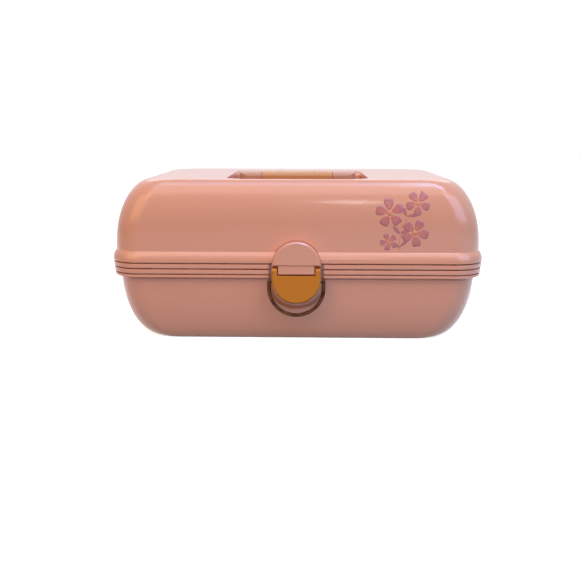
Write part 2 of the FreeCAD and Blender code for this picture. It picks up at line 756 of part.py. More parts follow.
# ---------------------------------------------------------------- latch
def latch_pad():
    """The half-moon pad on the lid, with the tab that the flap turns on."""
    body = new_body("latch_pad")
    disc = new_sketch(body, "XZ_Plane", "pad_outline", y=LATCH_BASE, z=f"-({PAD_BACK})")
    start = size("latch_radius")
    arc = disc.addGeometry(Part.ArcOfCircle(Part.Circle(Vector(0, 0, 0), Vector(0, 0, 1), start), 0, math.pi))
    chord = disc.addGeometry(Part.LineSegment(Vector(-start, 0, 0), Vector(start, 0, 0)))
    disc.addConstraint(Sketcher.Constraint("Coincident", arc, 2, chord, 1))
    disc.addConstraint(Sketcher.Constraint("Coincident", arc, 1, chord, 2))
    disc.addConstraint(Sketcher.Constraint("Coincident", arc, 3, -1, 1))
    disc.addConstraint(Sketcher.Constraint("PointOnObject", chord, 1, -1))
    dimension(disc, "latch_radius", "Radius", arc, start)
    moon = pad(body, "pad_body", disc, f"pad_proud + ({PAD_BACK} - {FRONT})")
    doc.recompute()
    face_y = -size("case_depth") / 2 - size("pad_proud")
    front = edges_where(moon, lambda edge, middle: abs(middle.y - face_y) < TOUCH)
    soften(body, "pad_bevel_cut", moon, front, "pad_bevel", "Chamfer")
    tab = new_sketch(body, "YZ_Plane", "tab_side", x=LATCH_AXIS_Y, y=LATCH_AXIS_Z, z="-tab_half")
    draw_tab(tab)
    pad(body, "tab_body", tab, "2 * tab_half")
    bore = new_sketch(body, "YZ_Plane", "tab_bore", x=LATCH_AXIS_Y, y=LATCH_AXIS_Z)
    draw_circle(bore, "latch_pin_radius")
    pocket(body, "tab_bore_cut", bore)


def draw_tab(sketch):
    """The tab's section about the latch axis: an upright block that carries the pin."""
    reaches = ("-(latch_pin_radius + tab_wall)", "-tab_drop", "latch_axis_proud + lid_inset + pad_seat",
               "latch_rise + latch_axis_drop + pad_bevel + tab_root")
    front, low, back, high = [value(reach) for reach in reaches]
    corners = [(front, low), (back, low), (back, high), (front, high)]
    sides = [sketch.addGeometry(Part.LineSegment(Vector(*a, 0), Vector(*b, 0)))
             for a, b in zip(corners, corners[1:] + corners[:1])]
    for side, following in zip(sides, sides[1:] + sides[:1]):
        sketch.addConstraint(Sketcher.Constraint("Coincident", side, 2, following, 1))
    for side, direction in zip(sides, ["Horizontal", "Vertical"] * 2):
        sketch.addConstraint(Sketcher.Constraint(direction, side))
    for index, reach in enumerate(reaches):
        direction, start = ("DistanceX", "DistanceY")[index % 2], (front, low, back, high)[index]
        side, end = (sides[0], 1) if index < 2 else (sides[1], 2)
        dimension(sketch, reach, direction, -1, 1, side, end, start)


def latch_flap():
    """The amber hasp: bevelled plate, side flanges, knuckle ears and a hook."""
    front = f"({LATCH_AXIS_Y} - ear_radius)"
    plate_back = f"({front} + flap_thickness)"
    flange_back = f"({plate_back} + flange_depth)"
    outer = round_plate("flap_outer", "flap_half", flange_back, "flap_thickness + flange_depth")
    bevel_plate(outer, value(front))
    hollow = round_plate("flap_inner", "flap_half - flange_width", flange_back, "flange_depth")
    ears = []
    for side, tag in (("-1", "left"), ("1", "right")):
        start = "-flap_half" if side == "-1" else "tab_half + flap_slot_gap"
        ears.append(rod(f"flap_ear_{tag}", start, LATCH_AXIS_Y, LATCH_AXIS_Z, "ear_radius",
                        "flap_half - tab_half - flap_slot_gap"))
    above = box("flap_above_axis", "-notch_half", f"{LATCH_AXIS_Y} - 2 * ear_radius", LATCH_AXIS_Z,
                "2 * notch_half", "4 * ear_radius", "2 * flap_half")
    slot = box("flap_slot", "-(tab_half + flap_slot_gap)", f"{LATCH_AXIS_Y} - 2 * ear_radius",
               f"{LATCH_AXIS_Z} - tab_drop - flap_slot_drop", "2 * (tab_half + flap_slot_gap)",
               "6 * ear_radius", "tab_drop + flap_half")
    hook = box("flap_hook", "-hook_half", plate_back, f"{CATCH_TOP} - catch_size - hook_drop",
               "2 * hook_half", "flange_depth + hook_proud", "hook_height")
    pin_hole = rod("flap_pin_hole", "-notch_half", LATCH_AXIS_Y, LATCH_AXIS_Z,
                   "latch_pin_radius + running_gap", "2 * notch_half")
    ring_hole = rod("flap_ring_hole", "-notch_half", RING_Y, RING_Z, "ring_end_radius + running_gap",
                    "2 * notch_half")
    joined = fuse("flap_joined", cut("flap_dish", outer, hollow, above, slot), hook, *ears)
    piece(cut("latch_flap", joined, pin_hole, ring_hole), "latch_flap")


def round_plate(name, half_width, back, thickness):
    """An upright plate in front of back, with straight sides and a half-round foot."""
    body = doc.addObject("PartDesign::Body", name)
    outline = new_sketch(body, "XZ_Plane", name + "_outline", y=f"{LATCH_AXIS_Z} - flap_drop + flap_half",
                         z=f"-({back})")
    outline.AttachmentOffset.Rotation = FreeCAD.Rotation(Vector(0, 0, 1), 90)
    draw_capsule(outline, "flap_drop", half_width, size("flap_drop"), value(half_width))
    pad(body, name + "_pad", outline, thickness)
    return body


def bevel_plate(body, front):
    """Bevel all the edges of a plate's front face."""
    doc.recompute()
    slab = body.Tip
    edges = edges_where(slab, lambda edge, middle: abs(middle.y - front) < TOUCH)
    soften(body, body.Name + "_bevel", slab, edges, "flap_bevel", "Chamfer")


def latch_pin():
    """The pin through the tab and both ears."""
    round_pin("latch_pin", "-flap_half", LATCH_AXIS_Y, LATCH_AXIS_Z, "latch_pin_radius",
              "2 * flap_half")


def pull_ring():
    """A round wire bent to a U, its ends turned in to the flap's flanges."""
    half, leg = size("ring_half"), size("ring_leg")
    top, y = value(RING_Z), value(RING_Y)
    bend = Part.Arc(Vector(-half, y, top - leg), Vector(0, y, top - leg - half), Vector(half, y, top - leg))
    route = Part.Wire([line_edge((-half, y, top), (-half, y, top - leg)), bend.toShape(),
                       line_edge((half, y, top - leg), (half, y, top))])
    start = Part.Wire(Part.Circle(Vector(-half, y, top), Vector(0, 0, 1), size("ring_wire") / 2).toShape())
    wire = solid_feature("ring_bow", route.makePipeShell([start], True, False))
    ball = doc.addObject("Part::Sphere", "ring_corner")
    bind(ball, Radius="ring_wire / 2")
    place(ball, x="ring_half", y=RING_Y, z=RING_Z)
    stub = rod("ring_stub", "flap_half - flange_width", RING_Y, RING_Z, "ring_end_radius",
               "ring_half - flap_half + flange_width")
    piece(fuse("pull_ring", wire, pair("ring_corners", ball), pair("ring_stubs", stub)), "pull_ring")


# ---------------------------------------------------------------- handle
def bowed_edge(start, end, bow):
    """An arc between two points of the YZ plane that bows to the left of its chord."""
    start, end = Vector(0, *start), Vector(0, *end)
    aside = Vector(1, 0, 0).cross(end - start).normalize()
    return arc_edge(start, (start + end) / 2 + aside * bow, end)


def grip_profile(grow):
    """Section of the grip bar in the YZ plane: flat front, crowned top, bevelled foot."""
    front = -size("handle_front") - grow
    back = front + size("grip_depth") + 2 * grow
    low = value(HANDLE_AXIS_Z) - size("leg_thickness") / 2 - grow
    top = value(HANDLE_TOP) + grow
    brow, crown, edge = top - size("grip_brow"), front + size("grip_crown"), size("grip_edge")
    return [line_edge((0, front, low + edge), (0, front, brow)),
            bowed_edge((front, brow), (crown, top), size("grip_bow")),
            bowed_edge((crown, top), (back, brow), size("grip_bow")),
            line_edge((0, back, brow), (0, back, low + edge)),
            line_edge((0, back, low + edge), (0, back - edge, low)),
            line_edge((0, back - edge, low), (0, front + edge, low)),
            line_edge((0, front + edge, low), (0, front, low + edge))]


def grip_bar(grow, half):
    """The grip section drawn out to both sides of the middle."""
    face = Part.Face(Part.Wire(grip_profile(grow)))
    face.translate(Vector(-half, 0, 0))
    return face.extrude(Vector(2 * half, 0, 0))


def handle():
    """The folding handle: a grip bar with two legs, and the sleeve round its grip."""
    core_bar = solid_feature("handle_bar", grip_bar(-size("sleeve_skin"), size("handle_half")))
    leg = leg_body()
    waist = solid_feature("grip_waist", grip_bar(0.0, size("grip_half") + size("side_gap")))
    ends = cut("handle_ends", solid_feature("handle_bar_full", grip_bar(0.0, size("handle_half"))), waist)
    whole = fuse("handle_joined", core_bar, ends, pair("handle_legs", leg))
    corner_cut = solid_feature("handle_corner", handle_corner())
    trimmed = cut("handle_trimmed", whole, pair("handle_corners", corner_cut))
    hole = rod("handle_pin_hole", "-recess_half", "handle_axis_back", HANDLE_AXIS_Z,
               "handle_pin_radius + running_gap", "2 * recess_half")
    piece(cut("handle_frame", trimmed, hole, *screw_holes("frame")), "handle_frame")
    sleeve_outside = solid_feature("sleeve_outside", grip_bar(0.0, size("grip_half")))
    sleeve_inside = solid_feature("sleeve_inside", grip_bar(-size("sleeve_skin"), size("handle_half")))
    sleeve = cut("sleeve", sleeve_outside, sleeve_inside, *screw_holes("sleeve"))
    piece(sleeve, "handle_grip_cover")
    grip_screws()


def handle_corner():
    """What rounds the outer front corner of the handle off in plan."""
    radius = size("handle_round")
    x, y = size("handle_half") - radius, -size("handle_front") + radius
    foot, height = value(RECESS_FLOOR), size("recess_depth") + 2 * size("handle_proud")
    square = Part.makeBox(2 * radius, 2 * radius, height, Vector(x, y - 2 * radius, foot))
    return square.cut(Part.makeCylinder(radius, height, Vector(x, y, foot)))


def leg_body():
    """One leg, from the grip bar back to its pin."""
    body = doc.addObject("PartDesign::Body", "handle_leg")
    sketch = new_sketch(body, "YZ_Plane", "leg_side", x="handle_axis_back", y=HANDLE_AXIS_Z,
                        z="handle_half - leg_width")
    sketch.AttachmentOffset.Rotation = FreeCAD.Rotation(Vector(0, 0, 1), 180)
    reach = "handle_front + handle_axis_back - grip_depth + leg_overlap"
    draw_capsule(sketch, reach, "leg_thickness / 2", value(reach), value("leg_thickness / 2"))
    pad(body, "leg_pad", sketch, "leg_width")
    return body


def screw_holes(tag):
    """Upright holes for the two grip screws."""
    holes = []
    for side in ("-1", "1"):
        holes.append(post(f"screw_hole_{tag}{side}", f"{side} * grip_screw_spread", GRIP_MIDDLE_Y,
                          HANDLE_AXIS_Z, "grip_screw_radius", f"{HANDLE_TOP} - {HANDLE_AXIS_Z} + grip_bow"))
    return holes


def grip_screws():
    """Two short screws, sunk a little below the crown, with a cross recess."""
    heads = []
    for side in ("-1", "1"):
        shank = post(f"grip_screw{side}", f"{side} * grip_screw_spread", GRIP_MIDDLE_Y, HANDLE_AXIS_Z,
                     "grip_screw_radius", f"{HANDLE_TOP} - {HANDLE_AXIS_Z} - grip_screw_sink")
        slots = []
        for turn, (length, width) in enumerate((("screw_slot_length", "screw_slot_width"),
                                                ("screw_slot_width", "screw_slot_length"))):
            slots.append(box(f"screw_slot{side}_{turn}", f"{side} * grip_screw_spread - {length} / 2",
                             f"{GRIP_MIDDLE_Y} - {width} / 2",
                             f"{HANDLE_TOP} - grip_screw_sink - screw_slot_depth", length, width,
                             "2 * screw_slot_depth"))
        heads.append(cut(f"grip_screw_cut{side}", shank, *slots))
    group = doc.addObject("Part::Compound", "grip_screws")
    group.Links = heads
    piece(group, "grip_screws")


def handle_pins():
    """Two pins from the recess bosses into the legs."""
    pin = rod("handle_pin", "handle_half - leg_width + pin_margin", "handle_axis_back", HANDLE_AXIS_Z,
              "handle_pin_radius", "recess_half - handle_half + leg_width - 2 * pin_margin")
    piece(pair("handle_pins", pin), "handle_pins")


# ---------------------------------------------------------------- mirror
def mirror():
    """The framed mirror under the lid, its glass and its two pins."""
    bottom = f"{MIRROR_TOP} - mirror_frame"
    frame = rounded_block(new_body("mirror_frame"), "0", bottom, "2 * mirror_half",
                          "mirror_depth", "mirror_frame", "mirror_ear / 2")
    window = new_sketch(frame, "XY_Plane", "mirror_window", z=bottom)
    draw_rectangle(window, "2 * (mirror_half - mirror_border)", "mirror_depth - 2 * mirror_border")
    pocket(frame, "mirror_seat", window, "glass_thickness", reverse=True)
    bore = new_sketch(frame, "YZ_Plane", "mirror_bore", x=MIRROR_PIN[0], y=MIRROR_PIN[1])
    draw_circle(bore, "mirror_pin_radius + running_gap")
    pocket(frame, "mirror_bores", bore)
    glass = new_body("mirror_glass")
    pane = new_sketch(glass, "XY_Plane", "glass_plan", z=bottom)
    draw_rectangle(pane, "2 * (mirror_half - mirror_border)", "mirror_depth - 2 * mirror_border")
    pad(glass, "glass_pane", pane, "glass_thickness")
    pin = rod("mirror_pin", "mirror_half - 2 * mirror_ear", *MIRROR_PIN, "mirror_pin_radius",
              "3 * mirror_ear + side_gap")
    piece(pair("mirror_pins", pin), "mirror_pins")


# ---------------------------------------------------------------- trays
def tray(label, seat, pins):
    """An open tray with rounded corners, and a collar round each pin."""
    front, depth, bottom = seat
    middle = f"{depth} / 2 - {front}"
    outside = rounded_block(doc.addObject("PartDesign::Body", label + "_outside"), middle, bottom,
                            f"2 * {TRAY_HALF}", depth, "tray_height", "tray_radius")
    inside = rounded_block(doc.addObject("PartDesign::Body", label + "_inside"), middle,
                           f"{bottom} + tray_floor", f"2 * ({TRAY_HALF} - tray_wall)",
                           f"{depth} - 2 * tray_wall", "tray_height", "tray_radius - tray_wall")
    collars = []
    holes = []
    for tag, pivot in (("front", ARM_FRONT), ("rear", ARM_REAR)):
        y = f"({pivot} + {pins[0]})"
        collars.append(pair(f"{label}_collars_{tag}",
                            rod(f"{label}_collar_{tag}", TRAY_HALF, y, pins[1], "arm_half_width",
                                "collar_length - rivet_gap")))
        holes.append(rod(f"{label}_hole_{tag}", "-case_length / 2", y, pins[1], "rivet_radius",
                         "case_length"))
    piece(cut(label, fuse(label + "_joined", outside, *collars), inside, *holes), label)


def dividers(label, seat, places):
    """Upright plates across a tray, standing on its floor."""
    front, depth, bottom = seat
    plates = []
    for number, place_x in enumerate(places):
        plates.append(box(f"{label}_{number}", f"{place_x} - divider_thickness / 2",
                          f"tray_wall + seat_gap - {front}", f"{bottom} + tray_floor",
                          "divider_thickness", f"{depth} - 2 * tray_wall - 2 * seat_gap",
                          "divider_height"))
    group = doc.addObject("Part::Compound", label)
    group.Links = plates
    piece(group, label)


# ---------------------------------------------------------------- linkage
def arm(label, pivot, reaches, plane):
    """A flat arm from a tub pivot, drilled at each reach, as it lies with the lid shut."""
    body = new_body(label)
    outline = new_sketch(body, "XY_Plane", label + "_outline")
    draw_capsule(outline, "upper_reach", "arm_half_width", size("upper_reach"), size("arm_half_width"))
    pad(body, label + "_plate", outline, "arm_thickness")
    for number, (reach, radius) in enumerate([(None, "rivet_radius + running_gap")] + reaches):
        drill = new_sketch(body, "XY_Plane", f"{label}_drill_{number}")
        draw_circle(drill, radius, reach)
        pocket(body, f"{label}_hole_{number}", drill)
    set_in_plane(body, plane, pivot, ARM_Z, 180.0 - size("arm_angle"))


def set_in_plane(body, x, y, z, degrees):
    """Stand a flat body up in a YZ plane, its own X axis turned up by degrees."""
    stand = FreeCAD.Rotation(Vector(1, 1, 1), 120)
    body.Placement.Rotation = FreeCAD.Rotation(Vector(1, 0, 0), degrees).multiply(stand)
    place(body, x, y, z)


def linkage():
    """Front and rear arms, lid links, and the rivets of every pivot."""
    running = "rivet_radius + running_gap"
    tray_holes = [("lower_reach", running), ("upper_reach", running)]
    for side, plane in (("right", ARM_PLANE), ("left", f"-{ARM_PLANE} - arm_thickness")):
        arm(f"front_arm_{side}", ARM_FRONT, tray_holes + [("link_reach", "rivet_radius")], plane)
        arm(f"rear_arm_{side}", ARM_REAR, tray_holes, plane)
    for side, plane in (("right", LINK_PLANE), ("left", f"-{LINK_PLANE} - link_thickness")):
        lid_link(f"lid_link_{side}", plane)
    arm_far = f"{ARM_PLANE} + arm_thickness"
    link_far = f"{LINK_PLANE} + link_thickness"
    rivets("base_pivot_rivets", [(ARM_FRONT, ARM_Z), (ARM_REAR, ARM_Z)],
           f"{ARM_PLANE} - rivet_gap - rivet_head", f"{arm_far} + arm_half_width", head_first=True)
    for label, pin in (("lower_tray_rivets", LOWER_PIN), ("upper_tray_rivets", UPPER_PIN)):
        rivets(label, [(f"({ARM_FRONT} + {pin[0]})", pin[1]), (f"({ARM_REAR} + {pin[0]})", pin[1])],
               f"{TRAY_HALF} - tray_wall", f"{arm_far} + rivet_gap + rivet_head", head_first=False)
    rivets("link_rivets", [LINK_PIN], ARM_PLANE, f"{link_far} + rivet_gap + rivet_head", head_first=False)
    rivets("lid_rivets", [LID_PIN], f"{LINK_PLANE} - rivet_gap - rivet_head",
           f"{link_far} + arm_half_width", head_first=True)


def lid_link(label, plane):
    """A link that ties the front arm to the lid and stays parallel to itself."""
    rise, run = f"({LID_PIN[1]} - {LINK_PIN[1]})", f"({LID_PIN[0]} - {LINK_PIN[0]})"
    reach = f"sqrt({run} ^ 2 + {rise} ^ 2)"
    body = new_body(label)
    outline = new_sketch(body, "XY_Plane", label + "_outline")
    draw_capsule(outline, reach, "link_half_width", value(reach), size("link_half_width"))
    pad(body, label + "_plate", outline, "link_thickness")
    for number, place_x in enumerate((None, reach)):
        drill = new_sketch(body, "XY_Plane", f"{label}_drill_{number}")
        draw_circle(drill, "rivet_radius + running_gap", place_x)
        pocket(body, f"{label}_hole_{number}", drill)
    set_in_plane(body, plane, *LINK_PIN, math.degrees(math.atan2(value(rise), value(run))))


def rivets(label, points, start, end, head_first):
    """Headed rivets at the given points, right side and left side."""
    solids = []
    for number, (y, z) in enumerate(points):
        shank = rod(f"{label}_shank_{number}", start, y, z, "rivet_radius", f"({end}) - ({start})")
        head_at = start if head_first else f"({end}) - rivet_head"
        head = rod(f"{label}_head_{number}", head_at, y, z, "rivet_head_radius", "rivet_head")
        solids.append(pair(f"{label}_pair_{number}", fuse(f"{label}_solid_{number}", shank, head)))
    group = doc.addObject("Part::Compound", label)
    group.Links = solids
    piece(group, label)


# ---------------------------------------------------------------- build
tub()
lid()
hinge_pins()
latch_pad()
latch_flap()
latch_pin()
pull_ring()
handle()
handle_pins()
mirror()
tray("lower_tray", LOWER_TRAY, LOWER_PIN)
tray("upper_tray", UPPER_TRAY, UPPER_PIN)
dividers("lower_dividers", LOWER_TRAY, [f"-{TRAY_HALF} / 3", f"{TRAY_HALF} / 3"])
dividers("upper_dividers", UPPER_TRAY, [f"-{TRAY_HALF} / 2", "0", f"{TRAY_HALF} / 2"])
linkage()
doc.recompute()

for item in doc.Objects:
    if "Invalid" in item.State or "Error" in item.State:
        raise RuntimeError(f"{item.Label} failed: {item.State}")
for item in PIECES:
    if item.Shape.isNull() or not item.Shape.isValid():
        raise RuntimeError(f"{item.Label} has no valid shape")

os.makedirs("parts", exist_ok=True)
for item in PIECES:
    item.Shape.exportStep(f"parts/{item.Label}.step")
    print(item.Label, len(item.Shape.Solids), round(item.Shape.Volume, 1))
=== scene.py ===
"""Makeup storage case with a folding handle: finishes, print, studio and camera.

The case comes ready built from the frame, in metres, +Z up, with the middle of
the tub's flat bottom at the origin.  This script dresses every piece, adds the
printed blossoms on the lid, and sets up a plain studio.
"""

import logging
import math
from dataclasses import dataclass
from enum import Enum
from typing import Callable, ClassVar, Iterable, Protocol, Sequence

import bmesh
import bpy
from mathutils import Matrix, Vector
from mathutils.bvhtree import BVHTree


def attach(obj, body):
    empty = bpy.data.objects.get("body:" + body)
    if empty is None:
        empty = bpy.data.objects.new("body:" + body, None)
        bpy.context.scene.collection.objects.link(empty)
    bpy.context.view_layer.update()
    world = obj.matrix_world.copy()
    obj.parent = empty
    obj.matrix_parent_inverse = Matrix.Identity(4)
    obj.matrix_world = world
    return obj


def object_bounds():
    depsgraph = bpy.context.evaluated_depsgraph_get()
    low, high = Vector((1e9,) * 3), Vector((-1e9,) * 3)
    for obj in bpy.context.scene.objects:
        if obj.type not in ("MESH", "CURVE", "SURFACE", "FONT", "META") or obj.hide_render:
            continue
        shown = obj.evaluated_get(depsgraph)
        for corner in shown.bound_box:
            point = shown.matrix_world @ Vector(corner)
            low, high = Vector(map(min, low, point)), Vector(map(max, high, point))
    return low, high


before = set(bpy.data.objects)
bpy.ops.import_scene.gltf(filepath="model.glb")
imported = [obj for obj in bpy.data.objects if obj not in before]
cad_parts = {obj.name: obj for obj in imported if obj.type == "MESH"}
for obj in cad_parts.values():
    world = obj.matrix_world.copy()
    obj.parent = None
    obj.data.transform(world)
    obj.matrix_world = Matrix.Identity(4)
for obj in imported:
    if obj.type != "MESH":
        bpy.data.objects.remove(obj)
CAD_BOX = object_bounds()

LOG = logging.getLogger("makeup_case")
MM = 0.001
WHITE = (1.0, 1.0, 1.0)
BLUSH = "blush"

Colour = tuple[float, float, float]
Point = tuple[float, float]
Place = tuple[float, float, float]

# The screen colour curve: a straight toe, then a power.
TOE_END = 0.04045
TOE_SLOPE = 12.92
CURVE_OFFSET = 0.055
CURVE_POWER = 2.4
FULL_SCALE = 255.0


def srgb(red: float, green: float, blue: float) -> Colour:
    """Turn 0 to 255 screen values into linear colour.

    Args:
        red: Red, 0 to 255.
        green: Green, 0 to 255.
        blue: Blue, 0 to 255.

    Returns:
        The same colour as linear values from 0 to 1.
    """
    def linear(value: float) -> float:
        """Turn one channel from screen to linear.

        Args:
            value: The channel, 0 to 255.

        Returns:
            Its linear value.
        """
        share = value / FULL_SCALE
        if share <= TOE_END:
            return share / TOE_SLOPE
        return ((share + CURVE_OFFSET) / (1.0 + CURVE_OFFSET)) ** CURVE_POWER
    return (linear(red), linear(green), linear(blue))


class Slot(Enum):
    """The finish slots that the case's record names."""

    SHELL = "shell_plastic"
    AMBER = "amber_plastic"
    HANDLE = "handle_plastic"
    TRAY = "tray_plastic"
    BRONZE = "bronze"
    STEEL = "steel"
    ARM = "arm_metal"
    MIRROR = "mirror_silver"


class Socket(Enum):
    """Kinds of socket on a shader node group."""

    FLOAT = "NodeSocketFloat"
    COLOUR = "NodeSocketColor"
    VECTOR = "NodeSocketVector"


# ---------------------------------------------------------------- node boards
class Board:
    """A node tree with short ways to add and join nodes."""

    def __init__(self, tree: bpy.types.NodeTree) -> None:
        """Take an empty node tree.

        Args:
            tree: The tree to fill.
        """
        self.tree = tree
        self.tree.nodes.clear()

    def add(self, kind: str, inputs: dict | None = None, **settings: object) -> bpy.types.Node:
        """Add a node, set it up and feed its inputs.

        Args:
            kind: The node's class without its ShaderNode prefix.
            inputs: Socket names or numbers, each with a value or an output to link.
            **settings: The node's own properties.

        Returns:
            The new node.
        """
        prefix = "" if kind.startswith("NodeGroup") else "ShaderNode"
        node = self.tree.nodes.new(prefix + kind)
        for name, value in settings.items():
            setattr(node, name, value)
        for name, value in (inputs or {}).items():
            self.feed(node, name, value)
        return node

    def feed(self, node: bpy.types.Node, name: str | int, value: object) -> None:
        """Give a socket a value, or link an output to it.

        Args:
            node: The node that owns the input.
            name: The input's name or number.
            value: A number, a colour, a vector or an output socket.
        """
        socket = node.inputs[name]
        if isinstance(value, bpy.types.NodeSocket):
            self.tree.links.new(value, socket)
            return
        if socket.type == "RGBA" and len(value) == 3:
            value = (*value, 1.0)
        socket.default_value = value

    def maths(self, operation: str, *values: object) -> bpy.types.NodeSocket:
        """A Math node on up to three values.

        Args:
            operation: The node's operation, such as MULTIPLY.
            *values: Numbers or outputs.

        Returns:
            The node's output.
        """
        node = self.add("Math", dict(enumerate(values)), operation=operation)
        return node.outputs[0]

    def remap(self, value: object, low: object, high: object, to_low: object = 0.0,
              to_high: object = 1.0) -> bpy.types.NodeSocket:
        """A clamped Map Range node.

        Args:
            value: What is mapped.
            low: The value that gives to_low.
            high: The value that gives to_high.
            to_low: The first end of the result.
            to_high: The other end of the result.

        Returns:
            The mapped value.
        """
        node = self.add("MapRange", {"Value": value, "From Min": low, "From Max": high,
                                     "To Min": to_low, "To Max": to_high})
        return node.outputs["Result"]

    def blend(self, factor: object, first: object, second: object, mode: str = "MIX") -> bpy.types.NodeSocket:
        """Mix two colours.

        Args:
            factor: How much of the second, from 0 to 1.
            first: The first colour.
            second: The second colour.
            mode: The blend mode.

        Returns:
            The mixed colour.
        """
        node = self.add("Mix", data_type="RGBA", blend_type=mode)
        self.feed(node, 0, factor)
        self.feed(node, 6, first)
        self.feed(node, 7, second)
        return node.outputs[2]

    def noise(self, where: object, scale: object, detail: float = 3.0,
              roughness: float = 0.5) -> bpy.types.NodeSocket:
        """A Noise Texture's value.

        Args:
            where: The coordinates.
            scale: Features per metre.
            detail: Octaves.
            roughness: How strong the finer octaves are.

        Returns:
            The noise, about 0.5.
        """
        node = self.add("TexNoise", {"Vector": where, "Scale": scale, "Detail": detail,
                                     "Roughness": roughness})
        return node.outputs[0]


def start_material(name: str) -> tuple[bpy.types.Material, Board]:
    """Make a material with an empty board.

    Args:
        name: The material's name.

    Returns:
        The material and the board of its nodes.
    """
    material = bpy.data.materials.new(name)
    material.use_nodes = True
    return material, Board(material.node_tree)


def viewed_rays(board: Board) -> bpy.types.NodeSocket:
    """A mask of the rays that reach the eye, straight, mirrored or through glass.

    Args:
        board: The board of a material or of the world.

    Returns:
        1 on such rays and 0 on the others.
    """
    path = board.add("LightPath")
    mask = board.maths("MAXIMUM", path.outputs["Is Camera Ray"], path.outputs["Is Glossy Ray"])
    return board.maths("MAXIMUM", mask, path.outputs["Is Transmission Ray"])


class Effect:
    """A shader node group that several finishes share."""

    def __init__(self, name: str, inputs: dict[str, float], outputs: dict[str, Socket],
                 draw: Callable[["Board", bpy.types.Node], dict]) -> None:
        """Build the group.

        Args:
            name: The group's name.
            inputs: Names and first values of its number inputs.
            outputs: Names and kinds of its outputs.
            draw: Fills the board and gives each output's source.
        """
        self.tree = bpy.data.node_groups.new(name, "ShaderNodeTree")
        for label, value in inputs.items():
            socket = self.tree.interface.new_socket(label, in_out="INPUT", socket_type=Socket.FLOAT.value)
            socket.default_value = value
        for label, kind in outputs.items():
            self.tree.interface.new_socket(label, in_out="OUTPUT", socket_type=kind.value)
        board = Board(self.tree)
        entry = board.add("NodeGroupInput")
        leave = board.add("NodeGroupOutput")
        for label, source in draw(board, entry).items():
            board.feed(leave, label, source)

    def place(self, board: Board, **values: object) -> bpy.types.Node:
        """Put the group on a material's board.

        Args:
            board: The material's board.
            **values: Inputs by name, with underscores for spaces.

        Returns:
            The group node.
        """
        node = board.add("Group", node_tree=self.tree)
        for name, value in values.items():
            board.feed(node, name.replace("_", " "), value)
        return node


